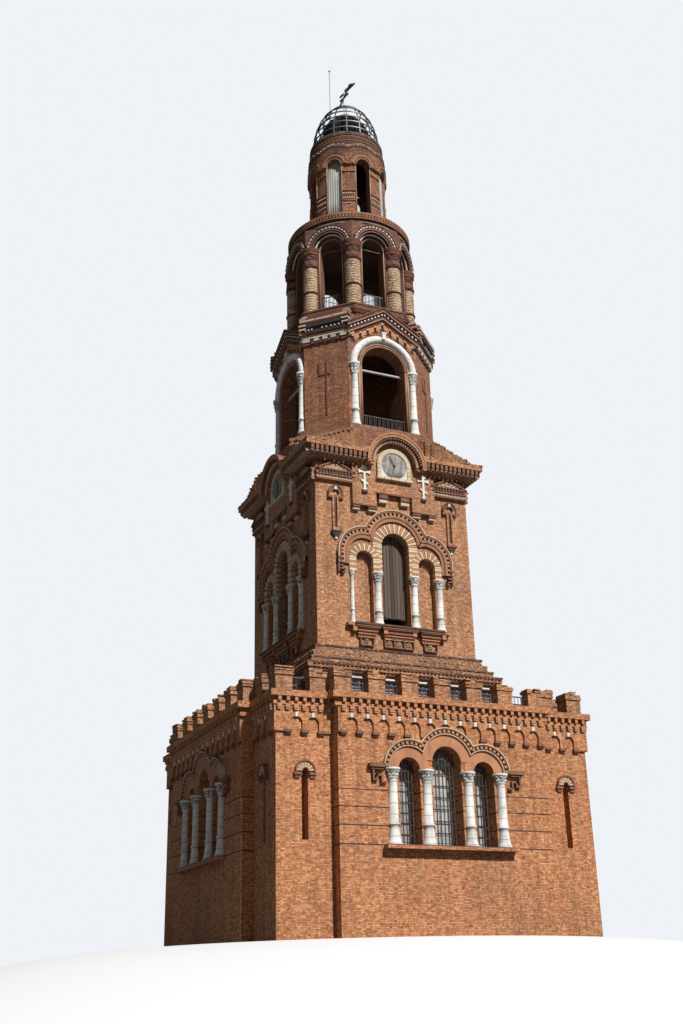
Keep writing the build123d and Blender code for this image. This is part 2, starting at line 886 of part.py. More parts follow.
def halved(shape):
    """The front and back halves of a round storey, cut through two of its piers."""
    reach = 2 * ground_half
    front = turned(box(-reach, reach, -reach, 0, arcade_floor, rim_top), -EIGHTH / 2)
    return {"front": shape & front, "back": shape - front}


def arcade_walls():
    """An octagon of eight round-headed bays, its head stepped out over the piers."""
    body = raised(octagon(arcade_half), arcade_floor, arcade_wall_top)
    body += raised(octagon(arcade_half + arcade_head_step), arcade_cap_z, arcade_wall_top)
    body -= raised(octagon(arcade_half - arcade_wall), arcade_floor, arcade_wall_top)
    face = -arcade_half - arcade_head_step
    light = upright(arched(arcade_arch_half, arcade_floor + arcade_sill, arcade_spring_z), face,
                    arcade_wall - arcade_half)
    near = Pos(0, arcade_spring_z) * Circle(arcade_arch_half + arcade_arch_band)
    wide = Pos(0, arcade_spring_z) * Circle(arcade_arch_half + 2 * arcade_arch_band)
    light += upright(near, face, -arcade_half)
    light += upright(wide, face, face + arcade_head_step / 2)
    for cut in on_eight_sides(light):
        body -= cut
    return body


def arcade_pier():
    """A banded round pier that stands out of one corner of the octagon."""
    shaft = arcade_shaft_radius
    band = arcade_band_radius
    foot = arcade_floor + arcade_foot_height
    neck = arcade_cap_z - arcade_capital_height
    waist = (arcade_floor + neck) / 2
    abacus = arcade_cap_z - arcade_abacus_height
    profile = [(0, arcade_floor), (arcade_foot_radius, arcade_floor), (arcade_foot_radius, foot),
               (shaft, foot), (shaft, waist - arcade_band_height), (band, waist - arcade_band_height),
               (band, waist), (shaft, waist), (shaft, neck), (band, neck),
               (band, neck + arcade_band_height), (arcade_neck_radius, neck + arcade_band_height),
               (arcade_neck_radius, abacus - arcade_flare_height), (arcade_abacus_radius, abacus),
               (arcade_abacus_radius, arcade_cap_z), (0, arcade_cap_z)]
    pier = revolve(make_face(Plane.XZ * Polyline(*profile, close=True)), Axis.Z)
    angle = radians(-90 + EIGHTH / 2)
    place = Pos(arcade_pier_centre * cos(angle), arcade_pier_centre * sin(angle), 0)
    return place * pier - raised(octagon(arcade_half), arcade_floor, arcade_cap_z)


def arcade_base():
    """Two courses of an octagonal ledge, which are the arcade's floor too."""
    middle = (bell_wall_top + arcade_floor) / 2
    ledge = raised(octagon(arcade_base_half - arcade_base_inset), bell_wall_top, middle)
    return ledge + raised(octagon(arcade_base_half), middle, arcade_floor)


def arcade_cornice():
    """The round cornice over the arcade, which is the lantern's floor too."""
    lower = arcade_cornice_height / 3
    disc = raised(Circle(arcade_cornice_radius - arcade_cornice_inset), arcade_wall_top,
                  arcade_wall_top + lower)
    return disc + raised(Circle(arcade_cornice_radius), arcade_wall_top + lower, lantern_floor)


save("arcade_ledge", arcade_base())
for half, body in halved(arcade_walls()).items():
    save(f"arcade_wall_{half}", body)
save("arcade_piers", gathered(on_eight_sides(arcade_pier())))
save("arcade_railings", gathered(on_eight_sides(
    railing(arcade_arch_half, railing_inset - arcade_half, arcade_floor + arcade_sill,
            arcade_balusters))))
save("arcade_cornice", arcade_cornice())


# Round lantern
def neck_profile():
    """The section of the lantern's head: upright over the arches, then drawn in to the rim."""
    inner = lantern_radius - lantern_wall
    shoulder = lantern_wall_top + lantern_head_height
    outer = Line((lantern_head_radius, lantern_wall_top), (lantern_head_radius, shoulder))
    bulge = (lantern_head_radius + neck_radius) / 2 + neck_bulge
    curve = ThreePointArc((lantern_head_radius, shoulder), (bulge, (shoulder + neck_top) / 2),
                          (neck_radius, neck_top))
    inside = Polyline((neck_radius, neck_top), (inner, neck_top), (inner, lantern_wall_top),
                      (lantern_head_radius, lantern_wall_top))
    return make_face(Plane.XZ * Curve([outer, curve, inside]))


def lantern_light(half, depth):
    """The cutter of one light, from outside the head to a depth inside it."""
    reach = lantern_head_radius + hood_step
    return upright(arched(half, lantern_floor + lantern_sill, lantern_wall_top), -reach,
                   -reach + depth)


def lantern_wall_ring():
    inner = lantern_radius - lantern_wall
    ring = raised(Circle(lantern_radius) - Circle(inner), lantern_floor, lantern_wall_top)
    for light in on_eight_sides(lantern_light(lantern_arch_half, lantern_head_radius / 2)):
        ring -= light
    return ring


def lantern_head():
    head = revolve(neck_profile(), Axis.Z)
    for light in on_eight_sides(lantern_light(lantern_arch_half, lantern_head_radius / 2)):
        head -= light
    for hood in on_eight_sides(lantern_hood()):
        head += hood
    return head


def lantern_hood():
    """A thin arched hood over one light, with its ends cut to the round of the head."""
    upper = Pos(0, hood_outer / 2) * Rectangle(2 * hood_outer, hood_outer)
    ring = (Circle(hood_outer) - Circle(hood_outer - hood_band)) & upper
    reach = lantern_head_radius + hood_step
    hood = upright(Pos(0, lantern_wall_top) * ring, -reach, lantern_wall / 2 - lantern_radius)
    return hood & raised(Circle(reach), lantern_wall_top, neck_top)


def lantern_rim():
    return raised(Circle(neck_radius + rim_step) - Circle(neck_radius - rim_band), neck_top, rim_top)


def lantern_sheets():
    """Grey sheets that close every other light of the lantern."""
    y = sheet_setback - lantern_radius
    sheet = upright(arched(lantern_arch_half, lantern_floor + lantern_sill, lantern_wall_top), y,
                    y + sheet_thickness)
    return [turned(sheet, EIGHTH + angle) for angle in SIDES.values()]


for half, body in halved(lantern_wall_ring()).items():
    save(f"lantern_wall_{half}", body)
save("lantern_head", lantern_head())
save("lantern_rim", lantern_rim())
save("lantern_sheets", gathered(lantern_sheets()))


# Inner cap, bare iron dome, mast, fallen cross and aerial
cap_top = neck_top + cap_seat_height + cap_height
dome_top_rise = dome_rise * sqrt(1 - (dome_top_radius / dome_radius) ** 2)


def dome_reach(rise):
    """The dome's outer radius at a height above the rim."""
    return dome_radius * sqrt(1 - (rise / dome_rise) ** 2)


def inner_cap():
    seat = neck_radius - rim_band
    foot = neck_top + cap_seat_height
    edge = Polyline((0, neck_top), (seat, neck_top), (seat, foot), (cap_radius, foot),
                    (cap_radius, foot + cap_skirt_height))
    bulge = (cap_radius + cap_top_radius) / 2 + cap_bulge
    curve = ThreePointArc((cap_radius, foot + cap_skirt_height),
                          (bulge, (foot + cap_skirt_height + cap_top) / 2),
                          (cap_top_radius, cap_top))
    close = Polyline((cap_top_radius, cap_top), (0, cap_top), (0, neck_top))
    return revolve(make_face(Plane.XZ * Curve([edge, curve, close])), Axis.Z)


def dome_rib():
    shape = Ellipse(dome_radius, dome_rise) - Ellipse(dome_radius - dome_bar, dome_rise - dome_bar)
    shape &= Pos(dome_radius / 2, dome_top_rise / 2) * Rectangle(dome_radius, dome_top_rise)
    return Pos(0, 0, rim_top) * upright(shape, -dome_bar / 2, dome_bar / 2)


def iron_dome():
    """The ribs and hoops left of the dome, fused where they cross."""
    frame = None
    for count in range(dome_ribs):
        rib = turned(dome_rib(), 360 * count / dome_ribs)
        frame = rib if frame is None else frame + rib
    for count in range(dome_hoops + 1):
        rise = (dome_top_rise - dome_bar) * count / dome_hoops
        reach = dome_reach(rise)
        ring = Circle(reach) - Circle(reach - dome_bar)
        frame += raised(ring, rim_top + rise, rim_top + rise + dome_bar)
    return frame


def cross():
    """An eight-pointed cross standing at the origin, with its arms along X."""
    bar = cross_bar / 2
    body = box(-bar, bar, -bar, bar, 0, cross_length)
    for share, width, slope in cross_arms:
        arm = Box(width, cross_bar, cross_bar)
        body += Pos(0, 0, share * cross_length) * Rot(0, slope, 0) * arm
    return body


def fallen_cross():
    """The cross with its foot on the top hoop, leaning past the mast and touching it."""
    turn = radians(cross_turn)
    aside = mast_radius + cross_bar / 2 * (abs(cos(turn)) + abs(sin(turn)))
    foot_radius = dome_top_radius - dome_bar / 2
    back = sqrt(foot_radius ** 2 - aside ** 2)
    leaning = Rot(0, cross_lean, 0) * turned(cross(), cross_turn)
    low = leaning.bounding_box().min.Z
    resting = Pos(-back, -aside, rim_top + dome_top_rise - low) * leaning
    return turned(resting, cross_azimuth)


def aerial():
    """A thin rod with a small tip, fixed against the outside of an upper hoop."""
    rise = (dome_top_rise - dome_bar) * (dome_hoops - 1) / dome_hoops
    angle = radians(aerial_azimuth)
    reach = dome_reach(rise) + aerial_radius
    rod = Cylinder(aerial_radius, aerial_height, align=(Align.CENTER, Align.CENTER, Align.MIN))
    tip = Pos(0, 0, aerial_height - aerial_tip_radius) * Sphere(aerial_tip_radius)
    return Pos(reach * cos(angle), reach * sin(angle), rim_top + rise) * (rod + tip)


save("inner_cap", inner_cap())
save("iron_dome", iron_dome())
save("mast", Pos(0, 0, cap_top + mast_height / 2) * Cylinder(mast_radius, mast_height))
save("fallen_cross", fallen_cross())
save("aerial", aerial())
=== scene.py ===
import math

import bmesh
import bpy
import numpy as np
from mathutils import Matrix


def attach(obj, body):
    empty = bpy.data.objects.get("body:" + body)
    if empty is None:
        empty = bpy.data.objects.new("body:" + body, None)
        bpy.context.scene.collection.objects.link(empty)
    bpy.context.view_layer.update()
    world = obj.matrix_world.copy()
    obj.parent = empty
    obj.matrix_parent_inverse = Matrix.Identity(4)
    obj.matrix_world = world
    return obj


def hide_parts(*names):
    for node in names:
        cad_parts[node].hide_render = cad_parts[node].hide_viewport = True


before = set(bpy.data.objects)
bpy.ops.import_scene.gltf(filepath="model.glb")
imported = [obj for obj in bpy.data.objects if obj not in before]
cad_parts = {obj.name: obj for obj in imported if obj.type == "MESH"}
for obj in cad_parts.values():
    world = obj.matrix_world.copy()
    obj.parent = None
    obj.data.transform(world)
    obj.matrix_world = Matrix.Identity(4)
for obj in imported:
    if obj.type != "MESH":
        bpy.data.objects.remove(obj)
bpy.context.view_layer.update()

# Ground storey walls and corner blocks. Fired clay brick in lime mortar, laid in cross bond: a row of
# long faces, then a row of short ends. The red is uneven from the kiln, and rain has washed soot and
# lime down it. Half the real size: a brick is 125 mm long and a course 37.5 mm high with its joint.
BRICK_LENGTH = 0.125
COURSE = 0.0375
JOINT = 0.006
JOINT_DEPTH = 0.004
MORTAR = (0.24, 0.15, 0.095, 1)
# Near-black soot colour, used for real soot streaks and also as painted shade in the ground wall grooves.
SOOT_AND_SHADE = (0.030, 0.022, 0.019, 1)
LICHEN = (0.055, 0.042, 0.034, 1)
LIME = (0.60, 0.48, 0.35, 1)
WALL_REDS = ((0.0, (0.10, 0.035, 0.022, 1)), (0.25, (0.33, 0.125, 0.052, 1)),
             (0.6, (0.48, 0.195, 0.080, 1)), (1.0, (0.72, 0.40, 0.21, 1)))


class Wire:
    """A socket in a material. Each operator adds the Math node that works it out."""

    def __init__(self, paint, socket):
        self.paint = paint
        self.socket = socket

    def __add__(self, other):
        return self.paint.math("ADD", self, other)

    def __radd__(self, other):
        return self.paint.math("ADD", other, self)

    def __sub__(self, other):
        return self.paint.math("SUBTRACT", self, other)

    def __rsub__(self, other):
        return self.paint.math("SUBTRACT", other, self)

    def __mul__(self, other):
        return self.paint.math("MULTIPLY", self, other)

    def __rmul__(self, other):
        return self.paint.math("MULTIPLY", other, self)

    def __truediv__(self, other):
        return self.paint.math("DIVIDE", self, other)

    def __rtruediv__(self, other):
        return self.paint.math("DIVIDE", other, self)

    def __gt__(self, other):
        return self.paint.math("GREATER_THAN", self, other)

    def __abs__(self):
        return self.paint.math("ABSOLUTE", self)

    def floor(self):
        return self.paint.math("FLOOR", self)

    def part(self):
        """What is left over the whole number below."""
        return self.paint.math("FRACT", self)

    def least(self, other):
        return self.paint.math("MINIMUM", self, other)

    def most(self, other):
        return self.paint.math("MAXIMUM", self, other)

    def ease(self, low, high):
        """0 below low, 1 above high, and a smooth step between them."""
        settings = {"interpolation_type": "SMOOTHSTEP"}
        return self.paint.node("ShaderNodeMapRange", settings, {0: self, 1: low, 2: high})


class Paint:
    """One material, or one world: its nodes are added by node() and its values are Wires."""

    def __init__(self, name, kind=bpy.data.materials):
        self.material = kind.new(name)
        self.material.use_nodes = True
        self.tree = self.material.node_tree
        self.tree.nodes.clear()

    def node(self, kind, settings=None, inputs=None, output=0):
        """A node of one kind: its settings first, then the values or wires of its sockets."""
        made = self.tree.nodes.new(kind)
        for name, value in (settings or {}).items():
            if name == "stops":
                while len(made.color_ramp.elements) < len(value):
                    made.color_ramp.elements.new(1.0)
                for element, (place, colour) in zip(made.color_ramp.elements, value):
                    element.position = place
                    element.color = colour
            else:
                setattr(made, name, value)
        for name, value in (inputs or {}).items():
            if isinstance(value, Wire):
                self.tree.links.new(value.socket, made.inputs[name])
            else:
                made.inputs[name].default_value = value
        return Wire(self, made.outputs[output]) if made.outputs else None

    def math(self, operation, *values):
        return self.node("ShaderNodeMath", {"operation": operation}, dict(enumerate(values)))

    def place(self):
        """The point's three coordinates in the tower's frame, and the same as one vector."""
        point = self.node("ShaderNodeTexCoord", output="Object")
        split = [self.node("ShaderNodeSeparateXYZ", None, {0: point}, axis) for axis in range(3)]
        return split, point

    def facing(self):
        """The three parts of the face's own direction."""
        normal = self.node("ShaderNodeNewGeometry", output="True Normal")
        return [self.node("ShaderNodeSeparateXYZ", None, {0: normal}, axis) for axis in range(3)]

    def vector(self, x, y, z=0.0):
        return self.node("ShaderNodeCombineXYZ", None, {0: x, 1: y, 2: z})

    def mix(self, share, low, high):
        """Colour low where share is 0 and high where it is 1."""
        settings = {"data_type": "RGBA", "clamp_factor": True}
        return self.node("ShaderNodeMix", settings, {0: share, 6: low, 7: high}, 2)

    def noise(self, point, scale, detail=3.0, rough=0.5):
        """Cloudy noise about 0.5, scale lumps to the metre."""
        return self.node("ShaderNodeTexNoise", None,
                         {"Vector": point, "Scale": scale, "Detail": detail, "Roughness": rough})

    def ramp(self, value, stops):
        return self.node("ShaderNodeValToRGB", {"stops": stops}, {0: value})

    def bump(self, height, depth):
        """The normal that a height of 0 to 1 gives, depth metres deep."""
        return self.node("ShaderNodeBump", None, {"Height": height, "Distance": depth})

    def finish(self, colour, rough, normal=None, metal=0.0, **fixed):
        """Joins the surface to the material and gives the material back."""
        inputs = {"Base Color": colour, "Roughness": rough, "Metallic": metal}
        inputs.update({name.replace("_", " "): value for name, value in fixed.items()})
        if normal is not None:
            inputs["Normal"] = normal
        surface = self.node("ShaderNodeBsdfPrincipled", None, inputs)
        self.node("ShaderNodeOutputMaterial", None, {0: surface})
        return self.material


def flat_run(paint):
    """Distance along a flat wall and up it, in metres: P . (Z x N) and z, or x and y on a level face."""
    (x, y, z), point = paint.place()
    nx, ny, nz = paint.facing()
    level = abs(nz) > 0.7
    along = (y * nx - x * ny) + x * level
    return along, z * (1 - level) + y * level, nz, point


def round_run(radius):
    """The same round a drum about the tower's axis: radius times the angle, and z."""
    def run(paint):
        (x, y, z), point = paint.place()
        nz = paint.facing()[2]
        return paint.math("ARCTAN2", y, x) * radius, z, nz, point
    return run


def bonded(paint, along, up):
    """Cross bond: 1 in a brick and 0 in a joint, and a number from 0 to 1 for each brick."""
    course = up / COURSE
    row = course.floor()
    ends = (row * 0.5).part() * 2
    brick = along / BRICK_LENGTH * (1 + ends) + ends * 0.25
    across = brick.part()
    rise = course.part()
    side_gap = across.least(1 - across) * (BRICK_LENGTH / (1 + ends))
    bed_gap = rise.least(1 - rise) * COURSE
    solid = side_gap.least(bed_gap).ease(JOINT * 0.25, JOINT * 0.75)
    tone = paint.node("ShaderNodeTexWhiteNoise", {"noise_dimensions": "2D"},
                      {"Vector": paint.vector(brick.floor(), row)})
    return solid, tone


def masonry(name, run=flat_run, reds=WALL_REDS, soot=0.35, lime=0.25, grooves=()):
    """Brickwork: kiln reds brick by brick, burnt and pale specks, soot streaks, lime, lichen on ledges."""
    paint = Paint(name)
    along, up, nz, point = run(paint)
    solid, tone = bonded(paint, along, up)
    broad = paint.noise(point, 0.55, 4.0, 0.6)
    patch = paint.noise(point, 3.2, 4.0, 0.65)
    grain = paint.noise(point, 46.0, 3.0, 0.6)
    speck = paint.noise(point, 15.0, 3.0, 0.75)
    red = paint.ramp(tone * 0.55 + speck * 2.2 + patch * 0.5 + broad * 0.3 - 1.14, reds)
    colour = paint.mix(solid, MORTAR, red)
    streak = paint.noise(paint.vector(along * 5.0, up * 0.35, nz), 1.0, 4.0, 0.6)
    dirty = (broad * 0.6 + streak * 0.7 + patch * 0.3 + speck * 0.35).ease(0.86, 1.14) * soot
    colour = paint.mix(dirty, colour, SOOT_AND_SHADE)
    washed = (patch * 0.5 + paint.noise(point, 1.3, 5.0, 0.7) * 0.9).ease(0.86, 1.05) * lime
    colour = paint.mix(washed, colour, LIME)
    ledge = nz.ease(0.35, 0.8) * (0.55 + patch * 0.7)
    colour = paint.mix(ledge, colour, LICHEN)
    height = solid * 0.8 + grain * 0.2 + tone * 0.15
    # Painted shade: at each groove level the colour is darkened towards near black, as the shade lying in the
    # groove.
    for level in grooves:
        hollow_shade = 1 - abs(up - level).ease(0.008, 0.018)
        colour = paint.mix(hollow_shade * 0.9, colour, SOOT_AND_SHADE)
        height = height - hollow_shade * 3
    return paint.finish(colour, 0.94 - tone * 0.1, paint.bump(height, JOINT_DEPTH))


def dress(material, *nodes):
    """Gives carried-over nodes their finish."""
    for name in nodes:
        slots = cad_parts[name].data.materials
        slots.clear()
        slots.append(material)


SIDE_NAMES = ("front", "right", "back", "left")
QUARTERS = (0, 90, 180, 270)
GROUND_SILL = 2.16
GROOVES = (GROUND_SILL, 2.605, 3.04, 3.45)
GROUND_REDS = ((0.0, (0.10, 0.033, 0.020, 1)), (0.25, (0.36, 0.120, 0.046, 1)),
               (0.6, (0.55, 0.195, 0.070, 1)), (1.0, (0.78, 0.39, 0.17, 1)))
ground_brick = masonry("ground_brick", reds=GROUND_REDS, lime=0.15)
bay_brick = masonry("bay_brick", reds=GROUND_REDS, lime=0.15, grooves=GROOVES)
dress(ground_brick, "ground_corner_blocks", "tower_inner_arches", "terrace_and_cornice")
dress(bay_brick, *[f"ground_wall_{side}" for side in SIDE_NAMES])

# Ground frieze. A row of little round arches hangs from the wall head on brick corbels. Each arch has a
# white key block, and a row of dentils with chalky tips carries the cornice.
FRIEZE_FOOT = 4.82
FRIEZE_PITCH = 0.439
FRIEZE_CROWN = FRIEZE_FOOT + 0.38
FRIEZE_STEP = 0.06
BAY_FACE = 4.825
GROUND_FACE = 4.5
STRING_FOOT = 5.46
DENTIL_PITCH = 0.2195
CUBE = np.array([[0, 0, 0], [1, 0, 0], [1, 1, 0], [0, 1, 0], [0, 0, 1], [1, 0, 1], [1, 1, 1], [0, 1, 1]])
CUBE_FACES = np.array([[0, 3, 2, 1], [4, 5, 6, 7], [0, 1, 5, 4], [1, 2, 6, 5], [2, 3, 7, 6], [3, 0, 4, 7]])


def blocks(bend, along, up, out):
    """Blocks between pairs (low, high) of numbers or arrays: corner c is bend(low + (high - low) c)."""
    ends = np.broadcast_arrays(*[np.asarray(end, float) for pair in (along, up, out) for end in pair])
    low = np.stack(ends[0::2], -1).reshape(-1, 1, 3)
    high = np.stack(ends[1::2], -1).reshape(-1, 1, 3)
    points = bend(low + (high - low) * CUBE)
    faces = CUBE_FACES + 8 * np.arange(len(low))[:, None, None]
    return points.reshape(-1, 3), faces.reshape(-1, 4)


def slabs(bend, *rows):
    """A block for each row (left, right, low, high, back, front)."""
    return blocks(bend, *np.array(rows, float).T.reshape(3, 2, -1))


def studs(bend, places, half, up, out):
    """The same block at each place along a wall, half its width to either side."""
    places = np.asarray(places)
    return blocks(bend, (places - half, places + half), up, out)


def wall(face, x=0.0, z=0.0):
    """(along, up, out) on a flat wall in front of the axis: (x + along, -face - out, z + up)."""
    def place(p):
        return np.stack([x + p[..., 0], -face - p[..., 2], z + p[..., 1]], -1)
    return place


def turned(*parts, angles=QUARTERS):
    """Parts repeated together at each angle, in degrees, about the tower's axis."""
    points, faces = joined(*parts)
    t = np.radians(angles)[:, None]
    x, y, z = points.T
    spun = np.stack([np.cos(t) * x - np.sin(t) * y, np.sin(t) * x + np.cos(t) * y,
                     np.broadcast_to(z, (len(t), len(z)))], -1)
    steps = len(points) * np.arange(len(t))[:, None, None]
    return spun.reshape(-1, 3), (faces + steps).reshape(-1, 4)


def joined(*parts):
    """Several parts as one."""
    steps = np.cumsum([0] + [len(points) for points, faces in parts[:-1]])
    return (np.concatenate([points for points, faces in parts]),
            np.concatenate([faces + step for (points, faces), step in zip(parts, steps)]))


def piece(name, material, slot, *parts, node=None, smooth=False):
    """One object made of parts; if smooth, its poles are welded, faces turned out and shading made smooth."""
    points, faces = joined(*parts)
    mesh = bpy.data.meshes.new(name)
    mesh.from_pydata(points.tolist(), [], faces.tolist())
    mesh.materials.append(material)
    if smooth:
        shell = bmesh.new()
        shell.from_mesh(mesh)
        bmesh.ops.remove_doubles(shell, verts=shell.verts, dist=1e-5)
        bmesh.ops.recalc_face_normals(shell, faces=shell.faces)
        shell.to_mesh(mesh)
        shell.free()
        mesh.shade_smooth()
    made = bpy.data.objects.new(name, mesh)
    bpy.context.scene.collection.objects.link(made)
    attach(made, "root")
    if node:
        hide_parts(node)


def weathered(name, pale, dark, soot=0.3, joint=None, depth=0.003, carved=()):
    """Single bricks and stones: pale to dark by noise, soot in streaks, and joints every joint metres up."""
    paint = Paint(name)
    (x, y, z), point = paint.place()
    nz = paint.facing()[2]
    broad = paint.noise(point, 2.3, 4.0, 0.6)
    grain = paint.noise(point, 38.0, 4.0, 0.65)
    colour = paint.mix((broad * 0.8 + grain * 0.5 - 0.32).ease(0.05, 0.75), pale, dark)
    streak = paint.noise(paint.vector((x + y) * 9.0, z * 0.8, x - y), 1.0, 3.0, 0.6)
    colour = paint.mix((streak + broad * 0.4).ease(0.62, 0.95) * soot, colour, SOOT_AND_SHADE)
    height = grain
    if joint is not None:
        rise = (z / joint).part()
        solid = rise.least(1 - rise).ease(0.006 / joint, 0.014 / joint)
        colour = paint.mix((1 - solid) * 0.45, colour, LICHEN)
        height = grain * 0.4 + solid * 0.6
    # Painted shade: in each carved band, noise patches are sunk and darkened near black, as shade in the
    # carving's hollows.
    for low, high in carved:
        within = z.ease(low, low + 0.02) * (1 - z.ease(high - 0.02, high))
        hollow_shade = paint.noise(point, 21.0, 2.0, 0.5).ease(0.44, 0.56) * within
        colour = paint.mix(hollow_shade * 0.8, colour, (0.10, 0.085, 0.07, 1))
        height = height - hollow_shade
    colour = paint.mix(nz.ease(0.4, 0.85) * (0.25 + broad * 0.8), colour, LICHEN)
    return paint.finish(colour, 0.88, paint.bump(height, depth))


pale_stone = weathered("pale_stone", (0.78, 0.75, 0.69, 1), (0.58, 0.53, 0.46, 1), 0.28)
pale_brick = weathered("pale_brick", (0.64, 0.52, 0.37, 1), (0.47, 0.33, 0.20, 1), 0.2)
orange_brick = weathered("orange_brick", (0.52, 0.24, 0.115, 1), (0.38, 0.155, 0.075, 1), 0.22)
brown_brick = weathered("brown_brick", (0.27, 0.115, 0.065, 1), (0.145, 0.065, 0.042, 1), 0.45)
# The darkest brick colour: real dark brick on ledges, sills, steps and dentils, and painted shade in slots,
# gaps, jamb lines, hood edges and keyhole lines.
dark_brick_and_shade = weathered("dark_brick_and_shade", (0.13, 0.065, 0.045, 1), (0.06, 0.038, 0.03, 1), 0.5)
arch_places = (np.arange(13) - 6) * FRIEZE_PITCH
leg_places = (np.arange(14) - 6.5) * FRIEZE_PITCH
block_arches = np.array([-3.97, -3.53, 3.53, 3.97])
block_legs = np.array([-4.19, -3.75, -3.31, 3.31, 3.75, 4.19])
leg_clear = leg_places[np.abs(leg_places) > 0.9]


def frieze_row(bays, corners, half, up, out):
    """The same small block at every place along the bays and along the corner blocks."""
    return turned(studs(wall(BAY_FACE), bays, half, up, out),
                  studs(wall(GROUND_FACE), corners, half, up, out))


piece("frieze_key_blocks", pale_stone, "pale_stone",
      frieze_row(arch_places, block_arches, 0.036, (FRIEZE_CROWN - 0.012, FRIEZE_CROWN + 0.098),
                 (0.0, FRIEZE_STEP + 0.016)))
piece("frieze_corbels", brown_brick, "brick",
      frieze_row(leg_clear, block_legs, 0.098, (FRIEZE_FOOT - 0.03, FRIEZE_FOOT + 0.035),
                 (0.0, FRIEZE_STEP + 0.03)),
      frieze_row(leg_clear, block_legs, 0.07, (FRIEZE_FOOT - 0.065, FRIEZE_FOOT - 0.03),
                 (0.0, FRIEZE_STEP)))
bay_dentils = (np.arange(27) - 13) * DENTIL_PITCH
block_run = 3.12 + np.arange(7) * DENTIL_PITCH
block_dentils = np.concatenate([block_run, -block_run])
piece("cornice_dentils", orange_brick, "brick",
      frieze_row(bay_dentils, block_dentils, 0.062, (STRING_FOOT - 0.085, STRING_FOOT + 0.01),
                 (0.0, FRIEZE_STEP + 0.075)),
      frieze_row(bay_dentils, block_dentils, 0.04, (STRING_FOOT + 0.09, STRING_FOOT + 0.2),
                 (0.05, 0.155)))
piece("cornice_dentil_tips", pale_brick, "brick",
      frieze_row(bay_dentils, block_dentils, 0.042, (STRING_FOOT - 0.12, STRING_FOOT - 0.085),
                 (0.0, FRIEZE_STEP + 0.055)))

# Ground window arches. Three overlapping hoods of moulded brick: a thin chalky outer line, a row of
# dentils over a dark groove, and a plain roll. Inside them lie smooth orange brick rings.
MIDDLE_SPRING = 4.22
SIDE_SPRING = 4.005
SIDE_LIGHT = 1.069
MIDDLE_HOOD = 0.88
SIDE_HOOD = 0.74


def arch(face, x, z):
    """(angle, radius, out) round a centre on a flat wall: (x + r sin a, -face - out, z + r cos a)."""
    def place(p):
        return np.stack([x + p[..., 1] * np.sin(p[..., 0]), -face - p[..., 2],
                         z + p[..., 1] * np.cos(p[..., 0])], -1)
    return place


def ring(bend, inner, outer, start, end, out, count, gap=0.0):
    """Blocks side by side from one angle to another, with a share gap of each left open."""
    edges = np.linspace(start, end, count + 1)
    slack = (end - start) / count * gap / 2
    return blocks(bend, (edges[:-1] + slack, edges[1:] - slack), (inner, outer), out)


def meeting(gap, drop, near, far):
    """The angles at which two rings cross above their centres, gap apart and drop lower on the right."""
    reach = math.hypot(gap, drop)
    first = math.atan2(gap, -drop) - math.acos((near ** 2 - far ** 2 + reach ** 2) / (2 * reach * near))
    second = math.atan2(near * math.sin(first) - gap, near * math.cos(first) + drop)
    return first, second


def three_hoods(face, middle, side, low, high, out, size=0.05, gap=0.0):
    """A band at a distance low to high inside the outline of three overlapping arches.

    middle and side are (x, z, radius). The middle ring stops where it meets the side rings.
    """
    depth = (low + high) / 2
    turn, back = meeting(side[0] - middle[0], middle[1] - side[1], middle[2] - depth, side[2] - depth)
    parts = [ring(arch(face, *middle[:2]), middle[2] - high, middle[2] - low, -turn, turn, out,
                  max(3, round(2 * turn * (middle[2] - depth) / size)), gap)]
    count = max(3, round((math.pi / 2 - back) * (side[2] - depth) / size))
    parts.append(ring(arch(face, side[0], side[1]), side[2] - high, side[2] - low, back, math.pi / 2,
                      out, count, gap))
    parts.append(ring(arch(face, -side[0], side[1]), side[2] - high, side[2] - low, -math.pi / 2, -back,
                      out, count, gap))
    return joined(*parts)


ground_middle = (0.0, MIDDLE_SPRING, MIDDLE_HOOD)
ground_side = (SIDE_LIGHT, SIDE_SPRING, SIDE_HOOD)


def ground_hood(low, high, out, **more):
    """A band of the hoods on all four sides."""
    return turned(three_hoods(BAY_FACE, ground_middle, ground_side, low, high, out, **more))


piece("ground_hood_line", pale_brick, "brick", ground_hood(0.0, 0.026, (0.0, 0.125)),
      ground_hood(0.15, 0.17, (0.0, 0.075)), node="ground_window_arches")
piece("ground_hood_mould", brown_brick, "brick", ground_hood(0.026, 0.17, (0.0, 0.05)),
      ground_hood(0.028, 0.052, (0.04, 0.11)))
piece("ground_hood_dentils", orange_brick, "brick",
      ground_hood(0.06, 0.125, (0.04, 0.1), size=0.125, gap=0.45))
piece("ground_arch_rings", orange_brick, "brick", turned(
    ring(arch(BAY_FACE, 0, MIDDLE_SPRING), 0.415, 0.71, -1.5, 1.5, (-0.02, 0.025), 31, 0.02),
    *[ring(arch(BAY_FACE, x, SIDE_SPRING), 0.297, 0.57, -1.5, 1.5, (-0.02, 0.02), 25, 0.02)
      for x in (SIDE_LIGHT, -SIDE_LIGHT)]))

# Meander ends of the hoods. Brick bars cut and laid as a fret, under a heavy double roll; each foot of the
# hoods stands on one, on the left and the mirrored one on the right.
FRET_X = 1.77
FRET_Z = 3.66
FRET_BARS = ((0.02, 0.44, 0.34, 0.43, 0.15), (0.06, 0.40, 0.29, 0.33, 0.11),
             (0.30, 0.345, 0.06, 0.29, 0.09), (0.20, 0.345, 0.02, 0.065, 0.09),
             (0.20, 0.245, 0.065, 0.17, 0.09), (0.07, 0.245, 0.13, 0.175, 0.09),
             (0.07, 0.115, 0.0, 0.13, 0.09), (-0.03, 0.115, -0.04, 0.005, 0.09))


